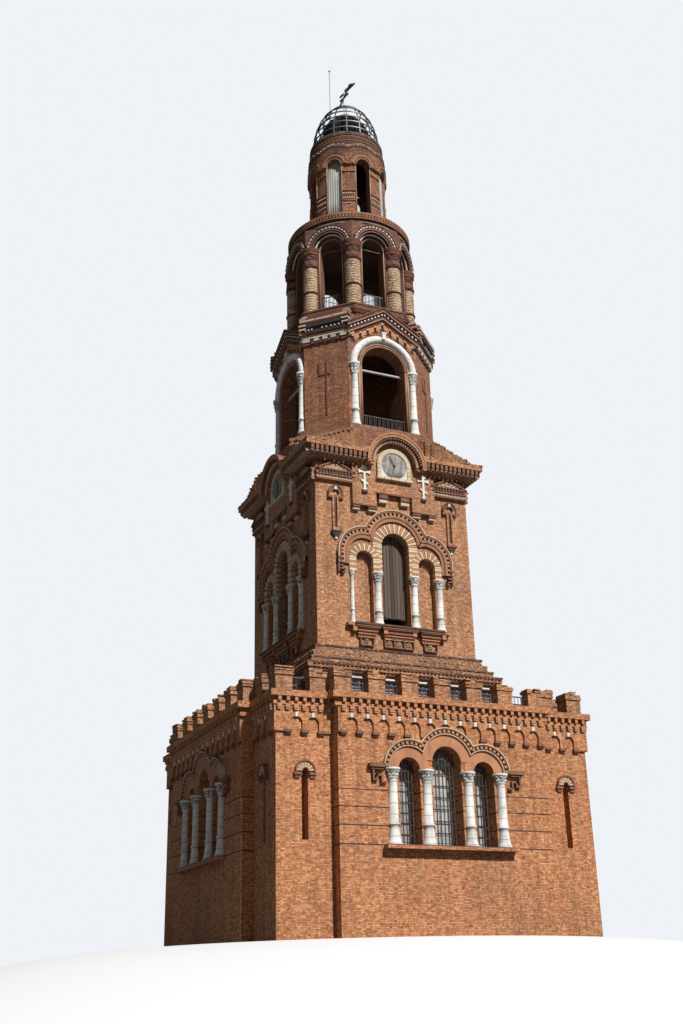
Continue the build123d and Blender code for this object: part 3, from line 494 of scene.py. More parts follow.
def fret(face, x, z, bars):
    """A mirrored pair of frets: bars are (left, right, low, high, out) from the point (x, z)."""
    left, right, low, high, out = np.array(bars).T
    up = (z + low, z + high)
    return turned(blocks(wall(face), (x + left, x + right), up, (0 * out, out)),
                  blocks(wall(face), (-x - right, -x - left), up, (0 * out, out)))


piece("ground_fret_ends", brown_brick, "brick", fret(BAY_FACE, FRET_X, FRET_Z, FRET_BARS))

# Window columns. Turned half columns of white stone: a flared foot, a ring low on the shaft, a collar and
# a capital cut with leaves. Weather has dirtied their joints.
COLUMN_TURNS = 28
CAPITAL_LEAVES = 7
SHAFT_RING = 0.24


def skin(points):
    """Quads over a grid of points, rows by columns, whose last column meets the first."""
    rows, cols = points.shape[:2]
    row, col = np.meshgrid(np.arange(rows - 1), np.arange(cols), indexing="ij")
    next_col = (col + 1) % cols
    faces = np.stack([row * cols + col, row * cols + next_col, (row + 1) * cols + next_col,
                      (row + 1) * cols + col], -1)
    return points.reshape(-1, 3), faces.reshape(-1, 4)


def column(x, face, radius, foot, head, base, capital):
    """A column at (x, -face): its radius at height z is R(z) (1 + leaf(z) |cos(leaves a / 2)|)."""
    neck = head - capital
    low = foot + base + (neck - foot - base) * SHAFT_RING
    profile = np.array([
        (foot, 0.0, 0), (foot, 1.62, 0), (foot + 0.3 * base, 1.62, 0), (foot + 0.42 * base, 1.45, 0),
        (foot + 0.8 * base, 1.34, 0), (foot + 1.15 * base, 1.22, 0), (low - 0.9 * base, 1.08, 0),
        (low - 0.22 * base, 1.02, 0), (low - 0.16 * base, 1.2, 0), (low, 1.26, 0),
        (low + 0.16 * base, 1.2, 0), (low + 0.22 * base, 1.0, 0), (neck - 0.02, 0.94, 0),
        (neck, 0.98, 0), (neck + 0.02, 1.22, 0), (neck + 0.1 * capital, 1.22, 0),
        (neck + 0.14 * capital, 1.02, 0.0), (neck + 0.24 * capital, 1.1, 0.16),
        (neck + 0.42 * capital, 1.2, 0.24), (neck + 0.5 * capital, 1.14, 0.1),
        (neck + 0.58 * capital, 1.28, 0.2), (neck + 0.74 * capital, 1.42, 0.16),
        (neck + 0.78 * capital, 1.36, 0), (neck + 0.8 * capital, 1.66, 0), (head, 1.72, 0), (head, 0.0, 0)])
    turn = np.linspace(0, 2 * np.pi, COLUMN_TURNS, endpoint=False)
    z, size, leaf = profile[:, :1], profile[:, 1:2], profile[:, 2:]
    reach = radius * size * (1 + leaf * np.abs(np.cos(CAPITAL_LEAVES * turn / 2)))
    points = np.stack([x + reach * np.cos(turn), -face + reach * np.sin(turn),
                       np.broadcast_to(z, reach.shape)], -1)
    return skin(points)


CAPITALS = ((3.775, 3.95), (9.76, 9.93), (16.53, 16.80))
white_column = weathered("white_column", (0.80, 0.78, 0.73, 1), (0.60, 0.57, 0.51, 1), 0.34, joint=0.262,
                         depth=0.006, carved=CAPITALS)
GROUND_COLUMNS = (-1.5445, -0.5935, 0.5935, 1.5445)
piece("ground_columns", white_column, "pale_stone",
      turned(*[column(x, BAY_FACE, 0.12, GROUND_SILL, SIDE_SPRING, 0.15, 0.26) for x in GROUND_COLUMNS]),
      node="ground_window_columns", smooth=True)

# Window grilles. Flat iron bars, riveted across each other, with a fan of bars in each round head. Behind
# them the lights are closed with pale sheets, streaked with rust.
GRILLE_BACK = 0.26
BAR = 0.011


def grille(x, half, spring, uprights, levels):
    """Uprights run up to the round head z = spring + sqrt(half^2 - x^2), level bars cross them."""
    places = (np.arange(uprights) + 1) / (uprights + 1) * 2 * half - half
    tops = spring + np.sqrt(half ** 2 - places ** 2)
    heights = np.linspace(GROUND_SILL, spring, levels + 2)[1:]
    out = (-GRILLE_BACK, -GRILLE_BACK + 0.014)
    upright = studs(wall(BAY_FACE, x), places, BAR, (GROUND_SILL, tops), out)
    level = blocks(wall(BAY_FACE, x), (-half, half), (heights - BAR, heights + BAR),
                   (-GRILLE_BACK - 0.012, -GRILLE_BACK))
    hub = arch(BAY_FACE, x, spring)
    bows = [ring(hub, half * share - BAR, half * share + BAR, -np.pi / 2, np.pi / 2,
                 (-GRILLE_BACK - 0.012, -GRILLE_BACK + 0.01), 18) for share in (0.34, 0.68)]
    return joined(upright, level, *bows)


def painted(name, colour, worn, amount, rough=0.45, metal=0.0):
    """Painted or bare iron, with rust or wear showing through in patches."""
    paint = Paint(name)
    point = paint.place()[1]
    patch = paint.noise(point, 7.0, 5.0, 0.65)
    grain = paint.noise(point, 60.0, 3.0, 0.6)
    share = (patch + grain * 0.25).ease(0.78 - amount * 0.45, 0.86 - amount * 0.3)
    relief = paint.bump(patch + grain * 0.5, 0.002)
    return paint.finish(paint.mix(share, colour, worn), rough + share * 0.3, relief, metal)


grille_iron = painted("grille_iron", (0.035, 0.030, 0.028, 1), (0.12, 0.055, 0.03, 1), 0.35)
piece("ground_grilles", grille_iron, "iron", turned(
    grille(0.0, 0.41, MIDDLE_SPRING, 7, 6),
    *[grille(x, 0.292, SIDE_SPRING, 5, 6) for x in (SIDE_LIGHT, -SIDE_LIGHT)]))


def screen_paint():
    """Old pale sheets: grey-white with long rust runs, and a dark seam every 0.27 m."""
    paint = Paint("old_screens")
    along, up, _, point = flat_run(paint)
    run = paint.noise(paint.vector(along * 14.0, up * 0.9), 1.0, 4.0, 0.6)
    cloud = paint.noise(point, 2.4, 4.0, 0.6)
    colour = paint.mix(cloud.ease(0.35, 0.7), (0.50, 0.49, 0.46, 1), (0.27, 0.26, 0.24, 1))
    colour = paint.mix(run.ease(0.55, 0.75) * 0.5, colour, (0.20, 0.12, 0.075, 1))
    across = (along / 0.27).part()
    rise = (up / 0.46).part()
    seam = across.least(1 - across).ease(0.02, 0.05) * rise.least(1 - rise).ease(0.015, 0.035)
    colour = paint.mix(1 - seam, colour, (0.10, 0.09, 0.08, 1))
    return paint.finish(colour, 0.7, paint.bump(seam + run * 0.3, 0.004))


dress(screen_paint(), "ground_window_screens")

# Blind slits of the corner blocks. A fan of pale and orange bricks over each slit, between small stepped
# corbels, and a dark blind back.
SLIT_PLACE = 3.75
SLIT_SPRING = 3.88
FAN_GAP = 0.02


def fan(x, z, face, inner, outer, out, count, keep):
    """Every second stone of a fan, starting with the first or the second."""
    edges = np.linspace(-np.pi / 2, np.pi / 2, count + 1)
    chosen = np.arange(count) % 2 == keep
    spans = (edges[:-1][chosen] + FAN_GAP, edges[1:][chosen] - FAN_GAP)
    return blocks(arch(face, x, z), spans, (inner, outer), out)


def slit_pair(make):
    """What make gives for a slit, on the right and on the left of every corner."""
    return turned(make(SLIT_PLACE), make(-SLIT_PLACE))


def slit_feet(x):
    """Two small steps at each foot of the hood."""
    feet = x + np.array([-1, 1]) * 0.2
    return joined(
        studs(wall(GROUND_FACE), feet, 0.1, (SLIT_SPRING - 0.1, SLIT_SPRING - 0.035), (0, 0.085)),
        studs(wall(GROUND_FACE), feet, 0.065, (SLIT_SPRING - 0.17, SLIT_SPRING - 0.1), (0, 0.05)))


piece("slit_pale_stones", pale_brick, "pale_stone", slit_pair(
    lambda x: fan(x, SLIT_SPRING, GROUND_FACE, 0.08, 0.225, (0.0, 0.072), 13, 0)))
piece("slit_orange_stones", orange_brick, "brick", slit_pair(
    lambda x: fan(x, SLIT_SPRING, GROUND_FACE, 0.08, 0.225, (0.0, 0.068), 13, 1)))
piece("slit_hoods", brown_brick, "brick", slit_pair(lambda x: joined(
    ring(arch(GROUND_FACE, x, SLIT_SPRING), 0.225, 0.268, -1.72, 1.72, (0.0, 0.1), 22), slit_feet(x))))

# Parapet. Square merlons of rough brick round the terrace, with corbelled caps. Frost has broken their top
# courses, and one on the front has lost a corner.
TERRACE = 5.82
MERLON_TOP = 6.45
CAP_FOOT = 6.24
MERLON_COURSES = 17
SQUEEZE = 0.988
BROKEN_MERLON = 6
BREAK_TOP = 6.34
BREAK_SLOPE = 0.13
MERLON_SPOTS = np.array([((k - 3) * 0.943, 4.675, 0.225, 0.15) for k in range(7)]
                        + [(-3.32, 4.35, 0.26, 0.15), (3.32, 4.35, 0.26, 0.15), (4.275, 4.275, 0.225, 0.225)])


def merlons(seed, broken):
    """Brick n of course k of each merlon, three to a course, each moved a little at random."""
    luck = np.random.default_rng(seed)
    x, away, half, deep = MERLON_SPOTS.T[:, :, None, None]
    course = np.arange(MERLON_COURSES)[None, :, None]
    brick = np.arange(3)[None, None, :]
    z = TERRACE + course * COURSE * SQUEEZE
    cap = (z > CAP_FOOT - 0.02) * 0.03
    shift = (course % 2) * 0.16
    first = np.clip(brick - shift, 0, 3) / 3
    last = np.where(brick == 2, 1.0, (brick + 1 - shift) / 3)
    wide = half + cap
    left, right = x - wide + 2 * wide * first, x - wide + 2 * wide * last
    shape = np.broadcast(left, z).shape
    rough = luck.uniform(-0.004, 0.006, shape) + (z > CAP_FOOT) * luck.uniform(-0.018, 0.012, shape)
    loose = np.where(z > MERLON_TOP - 0.075, 0.42, np.where(z > MERLON_TOP - 0.12, 0.12, 0))
    keep = luck.random(shape) > loose
    lost = (np.arange(len(MERLON_SPOTS))[:, None, None] == broken) & (z > BREAK_TOP - BREAK_SLOPE * brick)
    keep = np.broadcast_to(keep & ~lost, shape)
    front = np.broadcast_to(away + deep + cap, shape) + rough
    back = np.broadcast_to(away - deep - cap, shape) - rough
    base = np.broadcast_to(z, shape)
    left = left - rough * (brick == 0)
    right = right + rough * (brick == 2)
    return blocks(wall(0), (left[keep], right[keep]), (base[keep], base[keep] + COURSE * SQUEEZE),
                  (back[keep], front[keep]))


piece("merlons", masonry("merlon_brick", soot=0.45, lime=0.3), "brick",
      *[turned(merlons(seed, BROKEN_MERLON if seed == 0 else -1), angles=(90 * seed,)) for seed in range(4)],
      node="parapet_merlons")

# Terrace railing. Thin painted steel bars behind the merlons, a later addition that has rusted a little.
# The upright bars stand close together between two rails.
rail_paint = painted("rail_paint", (0.055, 0.075, 0.11, 1), (0.16, 0.08, 0.045, 1), 0.2)
dress(rail_paint, "terrace_railing")
RAIL_LINE = 3.945
bar_places = np.linspace(-RAIL_LINE, RAIL_LINE, 73)
piece("terrace_rail_bars", rail_paint, "iron",
      turned(studs(wall(RAIL_LINE), bar_places, 0.006, (TERRACE, TERRACE + 0.5), (-0.006, 0.006))))

# Attic. A low brick storey set back behind the parapet, with a little window in every gap between the
# merlons: a white lintel strip, two panes in a brown frame, and dog-tooth brick under the ledge.
ATTIC_FACE = 2.925
ATTIC_TOP = 6.95
CLOCK_FOOT = 7.695
clock_brick = masonry("clock_brick", lime=0.35)
dress(masonry("attic_brick", soot=0.5, lime=0.35), "attic_and_foot")
attic_wall = wall(ATTIC_FACE)
window_places = (np.arange(6) - 2.5) * 1.008
piece("attic_lintels", pale_stone, "pale_stone", turned(
    studs(attic_wall, window_places, 0.21, (6.745, 6.79), (-0.06, 0.03)),
    studs(attic_wall, window_places, 0.2, (6.35, 6.385), (-0.12, 0.02))))
pane_edges = (window_places[:, None] + np.array([-0.2, -0.02, 0.17])).ravel()
piece("attic_frames", brown_brick, "pale_stone", turned(
    blocks(attic_wall, (pane_edges, pane_edges + 0.035), (6.36, 6.75), (-0.175, -0.14)),
    studs(attic_wall, window_places, 0.2, (6.51, 6.535), (-0.17, -0.145))))


def dog_teeth(face, places, half, low, high):
    """Bricks set on edge: square prisms turned by 45 degrees, half buried in the wall."""
    def place(p):
        u, v = p[..., 0], p[..., 2]
        return np.stack([places[:, None] + (u - v) * half, -face - (u + v) * half, p[..., 1]], -1)
    count = np.zeros(len(places))
    return blocks(place, (count - 0.7, count + 0.7), (low, high), (count - 0.7, count + 0.7))


tooth_places = np.linspace(-2.85, 2.85, 48)
piece("attic_dog_teeth", brown_brick, "brick",
      turned(dog_teeth(ATTIC_FACE, tooth_places, 0.048, 6.87, ATTIC_TOP)),
      turned(dog_teeth(ATTIC_FACE + 0.07, tooth_places + 0.06, 0.045, 7.04, 7.085)))

# Window glass of the attic. Two panes in each frame, so thick with dust that they show pale from outside.
# The dust lies in patches.
dusty = Paint("dusty_glass")
dust = dusty.noise(dusty.place()[1], 6.0, 4.0, 0.6).ease(0.3, 0.75)
pane_colour = dusty.mix(dust, (0.30, 0.29, 0.27, 1), (0.62, 0.60, 0.56, 1))
dress(dusty.finish(pane_colour, 0.4), "attic_glass")

# Stepped foot of the clock storey. Ragged courses of brick ends: mortar has washed out, bricks have slipped
# or dropped, and moss darkens every ledge.
FOOT_STEPS = ((2.995, ATTIC_TOP, 7.10), (2.8138, 7.10, 7.2983), (2.7025, 7.2983, 7.4967),
              (2.5913, 7.4967, CLOCK_FOOT))
END_PITCH = 0.0655
END_WIDTH = 0.056
ragged_brick = weathered("ragged_brick", (0.42, 0.22, 0.12, 1), (0.21, 0.11, 0.07, 1), 0.5, depth=0.006)


def ragged_course(seed, half, low, high, reach=0.035, kept=0.82, span=None, clear=0.0):
    """Brick ends along one side of a ledge, each pushed out or in at random.

    They run to span on either side of the middle, and leave clear open there.
    """
    span = half if span is None else span
    luck = np.random.default_rng(seed)
    parts = []
    rows = max(2, round((high - low) / COURSE))
    for row in range(rows):
        count = int(2 * span / END_PITCH)
        places = np.linspace(-span, span, count, endpoint=False) + (row % 2) * 0.03
        places = places[(luck.random(count) < kept) & (np.abs(places + END_WIDTH / 2) >= clear)]
        out = luck.uniform(-0.012, reach, len(places)) * (0.5 if row < rows - 1 else 1.0)
        up = low + row * (high - low) / rows
        rise = luck.uniform(0.0, 0.012, len(places)) * (row == rows - 1)
        parts.append(blocks(wall(half), (places, places + END_WIDTH), (up + 0.002, up + 0.034 + rise),
                            (-0.06, out)))
    return joined(*parts)


piece("ragged_foot", ragged_brick, "brick",
      *[turned(ragged_course(10 * side + step, *sizes), angles=(90 * side,))
        for side in range(4) for step, sizes in enumerate(FOOT_STEPS)])
FOOT_LEDGES = ((2.61, 7.655, 7.702), (2.83, 7.262, 7.302), (3.01, 7.075, 7.108))
piece("foot_ledges", dark_brick_and_shade, "brick", turned(*[
    blocks(wall(half), (-half - 0.01, half + 0.01), (low, high), (-0.1, 0.008))
    for half, low, high in FOOT_LEDGES]))

# Clock storey walls, floor, cornice and round gables. The same red brick and bond as below, with more lime
# washed over it, so that the walls look paler.
dress(clock_brick, "clock_floor", "clock_roof_and_cornice", "clock_gables",
      *[f"clock_wall_{side}" for side in SIDE_NAMES])

# Clock window sills. Three moulded sills stand on stepped brick, over sunk panels that each hold a carved
# rosette: one panel under each niche and three under the middle light.
CLOCK_FACE = 2.48
clock_wall = wall(CLOCK_FACE)
SILL = 8.415
SILL_STEPS = ((-0.045, 0.012, 0.0, 0.235), (-0.085, -0.045, 0.03, 0.205), (-0.125, -0.085, 0.055, 0.185),
              (-0.195, -0.125, 0.08, 0.125), (-0.235, -0.195, 0.1, 0.15), (-0.30, -0.235, 0.11, 0.11))
SILL_SPANS = ((-1.0, 0.40), (0.0, 0.60), (1.0, 0.40))
PANELS = ((-1.0, 0.2), (-0.31, 0.145), (0.0, 0.145), (0.31, 0.145), (1.0, 0.2))
PANEL_Z = 7.955
PANEL_TALL = 0.145
PETALS = 8


def sill_step(k):
    """Step k of the three sills on every side."""
    low, high, less, out = SILL_STEPS[k]
    x, half = np.array(SILL_SPANS).T
    up = (SILL + low, SILL + high)
    return turned(blocks(clock_wall, (x - half + less, x + half - less), up, (0.0, out)))


def square_frames(thick, out):
    """A frame of four bars round each panel's centre."""
    x, size = np.array(PANELS).T
    levels = (PANEL_Z - PANEL_TALL, PANEL_Z + PANEL_TALL)
    bars = [studs(clock_wall, x, size, (z - thick, z + thick), (0.0, out)) for z in levels]
    bars += [studs(clock_wall, x + side * size, thick, levels, (0.0, out)) for side in (-1, 1)]
    return joined(*bars)


def rosette(face, x, z, radius, out):
    """A carved flower: radius r gives depth out (1 - r^2) (0.75 + 0.25 cos(petals a))."""
    r, a = np.meshgrid(np.linspace(0.0, 1.0, 6), np.linspace(0, 2 * np.pi, 33)[:-1], indexing="ij")
    swell = r * radius * (1 + 0.16 * np.cos(PETALS * a))
    depth = out * (1 - r ** 2) * (0.75 + 0.25 * np.cos(PETALS * a)) + 0.004 - 0.03 * (r == 1)
    return skin(np.stack([x + swell * np.sin(a), -face - depth, z + swell * np.cos(a)], -1))


piece("clock_sill_slabs", dark_brick_and_shade, "brick", sill_step(0))
piece("clock_sill_mouldings", brown_brick, "brick", *[sill_step(k) for k in (2, 4)],
      turned(square_frames(0.016, 0.085)))
piece("clock_sill_faces", orange_brick, "brick", *[sill_step(k) for k in (1, 3, 5)],
      turned(studs(clock_wall, (-1.40, -0.46, 0.46, 1.40), 0.06, (SILL - 0.24, SILL - 0.05), (0.0, 0.16))))
piece("clock_rosettes", pale_brick, "pale_stone",
      turned(*[rosette(CLOCK_FACE, x, PANEL_Z, 0.095, 0.06) for x, half in PANELS]), smooth=True)

# Clock window columns. White half columns like those below; the left one on the front has weathered down to
# a thin core.
CLOCK_COLUMNS = (-1.4, -0.585, 0.585, 1.4)
CLOCK_HEAD = 9.99


def clock_columns(places):
    """Columns of the clock storey at several places along a wall."""
    return joined(*[column(x, CLOCK_FACE, 0.098, SILL, CLOCK_HEAD, 0.15, 0.27) for x in places])


piece("clock_columns", white_column, "pale_stone", clock_columns(CLOCK_COLUMNS[1:]),
      column(-1.4, CLOCK_FACE + 0.02, 0.052, SILL, CLOCK_HEAD, 0.09, 0.2),
      turned(clock_columns(CLOCK_COLUMNS), angles=(90, 180, 270)), node="clock_window_columns", smooth=True)

# Clock window arches. Cream and orange voussoirs by turns, which run on down the jambs as stripes to the
# capitals, round the middle light and the two blind niches.
LIGHT_SPRING = 10.84
NICHE_SPRING = 10.35
NICHE_X = 1.0
STRIPE = 0.0745
STRIPED_ARCHES = ((0.0, LIGHT_SPRING, 0.437, 0.725, 25, 0.05),
                  (-NICHE_X, NICHE_SPRING, 0.267, 0.485, 17, 0.062),
                  (NICHE_X, NICHE_SPRING, 0.267, 0.485, 17, 0.062))


def striped(keep, less):
    """Every second voussoir and every second jamb stripe; less is how far this colour lies back."""
    parts = []
    for x, spring, inner, outer, count, out in STRIPED_ARCHES:
        edges = np.linspace(-np.pi / 2, np.pi / 2, count + 1)
        mine = np.arange(count) % 2 == keep
        slit = 0.006 / inner
        parts.append(blocks(arch(CLOCK_FACE, x, spring), (edges[:-1][mine] + slit, edges[1:][mine] - slit),
                            (inner, outer), (-0.09, out - less)))
        stripes = np.arange(int((spring - CLOCK_HEAD) / STRIPE + 0.5))
        stripes = stripes[stripes % 2 == keep]
        top = np.minimum(spring - stripes * STRIPE - 0.003, spring)
        for side in (-1, 1):
            ends = sorted((x + side * inner, x + side * outer))
            parts.append(blocks(clock_wall, ends, (top - STRIPE + 0.006, top), (-0.09, out - less)))
    return turned(*parts)


rust_brick = weathered("rust_brick", (0.40, 0.175, 0.09, 1), (0.25, 0.105, 0.06, 1), 0.35)
cream_brick = weathered("cream_brick", (0.70, 0.57, 0.40, 1), (0.52, 0.38, 0.24, 1), 0.16)
piece("cream_voussoirs", cream_brick, "striped_brick", striped(0, 0.0), node="clock_window_voussoirs")
piece("orange_voussoirs", orange_brick, "striped_brick", striped(1, 0.006))

# Clock window hoods. Three overlapping moulded arches over the stripes: a chalky outer line, a brown band, a
# row of orange dentils in a hollow, a red roll, and fret ends like those below.
clock_middle = (0.0, 10.90, 1.083)
clock_side = (NICHE_X, 10.505, 0.842)
HOOD_FOOT = 9.86


def clock_hood(low, high, out, size=0.05, gap=0.0):
    """A band inside the outline of the three arches, with straight tails down to the fret ends."""
    reach = NICHE_X + clock_side[2]
    tops = np.arange(HOOD_FOOT + 0.3, clock_side[1] - 0.01, size)
    span = (tops, tops + size * (1 - gap))
    return turned(three_hoods(CLOCK_FACE, clock_middle, clock_side, low, high, out, size, gap),
                  blocks(clock_wall, (reach - high, reach - low), span, out),
                  blocks(clock_wall, (low - reach, high - reach), span, out))


piece("clock_hood_line", pale_brick, "brick", clock_hood(0.0, 0.028, (0.0, 0.13)),
      clock_hood(0.178, 0.19, (0.0, 0.1)), node="clock_window_hoods")
piece("clock_hood_mould", brown_brick, "brick", clock_hood(0.0, 0.352, (0.0, 0.055)),
      clock_hood(0.032, 0.088, (0.03, 0.115)))
piece("clock_hood_roll", rust_brick, "brick", clock_hood(0.19, 0.245, (0.03, 0.092)),
      clock_hood(0.262, 0.35, (0.03, 0.07)))
piece("clock_hood_dentils", orange_brick, "brick", clock_hood(0.095, 0.17, (0.03, 0.108), 0.14, 0.52))
CLOCK_FRET = ((0.04, 0.16, 0.36, 0.44, 0.14), (0.10, 0.15, 0.0, 0.36, 0.1),
              (0.0, 0.12, 0.27, 0.31, 0.11), (-0.02, 0.12, 0.17, 0.21, 0.11),
              (-0.06, 0.12, 0.07, 0.11, 0.11), (-0.06, -0.02, 0.0, 0.11, 0.11),
              (-0.06, 0.04, -0.03, 0.01, 0.11))
piece("clock_fret_ends", brown_brick, "brick", fret(CLOCK_FACE, 1.70, HOOD_FOOT + 0.02, CLOCK_FRET))

# Clock window boards. The middle light is closed with upright planks, dark with age. They stop short of the
# sill at uneven lengths.
PLANK_BACK = 0.262
PLANK_HALF = 0.44
PLANK_WIDTH = 0.0978
PLANKS = 9
plank_edges = np.linspace(-PLANK_HALF, PLANK_HALF, PLANKS + 1)
plank_luck = np.random.default_rng(5)
plank_feet = SILL + 0.37 + plank_luck.uniform(-0.03, 0.035, PLANKS)
plank_in = np.minimum(np.abs(plank_edges[:-1]), np.abs(plank_edges[1:]))
plank_tops = LIGHT_SPRING + np.sqrt(PLANK_HALF ** 2 - plank_in ** 2)
plank_out = -PLANK_BACK + plank_luck.uniform(-0.006, 0.006, PLANKS)


def old_wood(name, fresh, grey):
    """Planks: long grain up the board, a tone for each board, and near black along the edges."""
    paint = Paint(name)
    along, up, _, _ = flat_run(paint)
    across = (along + PLANK_HALF) / PLANK_WIDTH
    board = across.floor()
    tone = paint.node("ShaderNodeTexWhiteNoise", {"noise_dimensions": "1D"}, {"W": board})
    grain = paint.noise(paint.vector(along * 110.0, up * 2.2, board * 7.3), 1.0, 5.0, 0.65)
    cloud = paint.noise(paint.vector(along * 9.0, up * 1.6, board), 1.0, 3.0, 0.5)
    colour = paint.mix((grain * 0.7 + tone * 0.45 + cloud * 0.2).ease(0.42, 1.05), fresh, grey)
    edge = across.part()
    gap = edge.least(1 - edge).ease(0.03, 0.12)
    colour = paint.mix((1 - gap) * 0.85, colour, (0.02, 0.014, 0.01, 1))
    return paint.finish(colour, 0.85, paint.bump(grain * 0.5 + gap, 0.005))


planks = old_wood("old_planks", (0.055, 0.034, 0.022, 1), (0.145, 0.098, 0.066, 1))
piece("clock_planks", planks, "boards", turned(
    blocks(clock_wall, (plank_edges[:-1] + 0.003, plank_edges[1:] - 0.003), (plank_feet, plank_tops),
           (plank_out - 0.025, plank_out))), node="clock_window_boards")
rail_feet = np.array([8.75, 9.9, 10.75])
piece("plank_rails", planks, "boards", turned(
    blocks(clock_wall, (-PLANK_HALF, PLANK_HALF), (rail_feet, rail_feet + 0.08),
           (-PLANK_BACK - 0.065, -PLANK_BACK - 0.03))))

# Dials. Sheet discs with their paint gone grey and streaked, and the stumps of two dark hands. A frame of
# cream brick blocks surrounds each one: a half round of them, two sides and a sill.
DIAL_Z = 13.37
PANEL_FACE = CLOCK_FACE + 0.12
panel_wall = wall(PANEL_FACE)


def dial_paint():
    """Bare grey sheet with rust and rain runs, darker towards the foot."""
    paint = Paint("old_dial")
    along, up, _, point = flat_run(paint)
    run = paint.noise(paint.vector(along * 11.0, up * 1.5), 1.0, 5.0, 0.65)
    cloud = paint.noise(point, 5.5, 5.0, 0.65)
    dull = (run * 0.7 + cloud * 0.5).ease(0.4, 0.8)
    colour = paint.mix(dull, (0.37, 0.36, 0.34, 1), (0.13, 0.115, 0.10, 1))
    colour = paint.mix((run + cloud).ease(0.98, 1.3) * 0.7, colour, (0.20, 0.10, 0.055, 1))
    colour = paint.mix(1 - up.ease(12.98, 13.25), colour, (0.075, 0.06, 0.05, 1))
    return paint.finish(colour, 0.7, paint.bump(run, 0.003), 0.2)


dress(dial_paint(), "clock_dials")
dress(pale_stone, "clock_dial_frames")


def hand(turn, length, half):
    """A tapered plate from the dial's centre, as an arch piece whose width falls to a third."""
    def place(p):
        side = p[..., 0] * half * (1 - 0.66 * p[..., 1])
        reach = p[..., 1] * length
        return np.stack([reach * np.sin(turn) + side * np.cos(turn), -PANEL_FACE - p[..., 2],
                         DIAL_Z + reach * np.cos(turn) - side * np.sin(turn)], -1)
    return blocks(place, (-1.0, 1.0), (-0.12, 1.0), (0.066, 0.078))


piece("dial_hands", grille_iron, "iron",
      turned(hand(-0.42, 0.34, 0.026), hand(3.3, 0.25, 0.034),
             rosette(PANEL_FACE + 0.064, 0.0, DIAL_Z, 0.045, 0.02)))
side_left = np.repeat([-0.552, 0.43], 3)
side_foot = DIAL_Z - 0.39 + 0.13 * np.tile(np.arange(3), 2)
sill_left = np.linspace(-0.58, 0.36, 5)
piece("dial_blocks", cream_brick, "pale_stone", turned(
    ring(arch(PANEL_FACE, 0.0, DIAL_Z), 0.418, 0.552, -np.pi / 2, np.pi / 2, (0.0, 0.085), 19, 0.07),
    blocks(panel_wall, (side_left, side_left + 0.122), (side_foot, side_foot + 0.12), (0.0, 0.085)),
    blocks(panel_wall, (sill_left, sill_left + 0.22), (DIAL_Z - 0.475, DIAL_Z - 0.395), (0.0, 0.12))))

# White crosses beside the dials. Plain eight-pointed crosses in relief, three bars with squared ends on a
# long upright, each on a small dark brick step.
CROSS_FOOT = 12.47
CROSS_X = 0.97
CROSS_BARS = ((0.0, 13.05, 0.175, 0.032, 0.0, 0.048), (0.0, 13.17, 0.085, 0.026, 0.0, 0.046),
              (0.0, 12.73, 0.115, 0.03, 0.5, 0.048), (-0.165, 13.05, 0.022, 0.052, 0.0, 0.052),
              (0.165, 13.05, 0.022, 0.052, 0.0, 0.052), (0.0, 13.235, 0.052, 0.02, 0.0, 0.052),
              (0.0, CROSS_FOOT + 0.02, 0.058, 0.024, 0.0, 0.054))


def bar(x, z, half, thick, slope, out):
    """A bar across an upright, its right end lower by slope times its length."""
    def place(p):
        return np.stack([x + p[..., 0], -PANEL_FACE - p[..., 2], z + p[..., 1] - slope * p[..., 0]], -1)
    return blocks(place, (-half, half), (-thick, thick), (0.0, out))


def white_cross(x):
    """The upright, then a bar for each row (aside, z, half, thick, slope, out)."""
    return joined(studs(panel_wall, x, 0.036, (CROSS_FOOT, 13.25), (0.0, 0.05)),
                  *[bar(x + aside, *sizes) for aside, *sizes in CROSS_BARS])


chalk_stone = weathered("chalk_stone", (0.80, 0.76, 0.68, 1), (0.60, 0.53, 0.43, 1), 0.22)
piece("white_crosses", chalk_stone, "pale_stone", turned(white_cross(-CROSS_X), white_cross(CROSS_X)))
piece("cross_steps", dark_brick_and_shade, "brick", turned(
    studs(panel_wall, (-CROSS_X, CROSS_X), 0.085, (CROSS_FOOT - 0.075, CROSS_FOOT), (0.0, 0.07))))

# Notched foot of the dial panel. The panel's lower edge is stepped, and pairs of corbel blocks hang from the
# ends of each step, with pale worn faces.
CORBEL_SPANS = ((-1.35, -1.13, 12.015), (-0.86, -0.585, 12.015), (-0.50, -0.21, 12.465), (0.21, 0.50, 12.465),
                (0.585, 0.86, 12.015), (1.13, 1.35, 12.015))
corbel_left, corbel_right, corbel_top = np.array(CORBEL_SPANS).T
corbel_deep = np.where(corbel_top > 12.3, 0.29, 0.17)
piece("panel_corbels", brown_brick, "brick", turned(
    blocks(clock_wall, (corbel_left, corbel_right), (corbel_top - corbel_deep * 0.5, corbel_top),
           (0.0, 0.13)),
    blocks(clock_wall, (corbel_left - 0.012, corbel_right + 0.012),
           (corbel_top - corbel_deep * 0.58, corbel_top - corbel_deep * 0.46), (0.0, 0.155)),
    slabs(clock_wall, (-1.365, -0.585, 11.985, 12.03, 0.0, 0.15), (0.585, 1.365, 11.985, 12.03, 0.0, 0.15),
          (-0.6, 0.6, 12.435, 12.48, 0.0, 0.15))))
piece("panel_corbel_faces", pale_brick, "brick", turned(
    blocks(clock_wall, (corbel_left + 0.008, corbel_right - 0.008),
           (corbel_top - corbel_deep, corbel_top - corbel_deep * 0.56), (0.0, 0.115))))

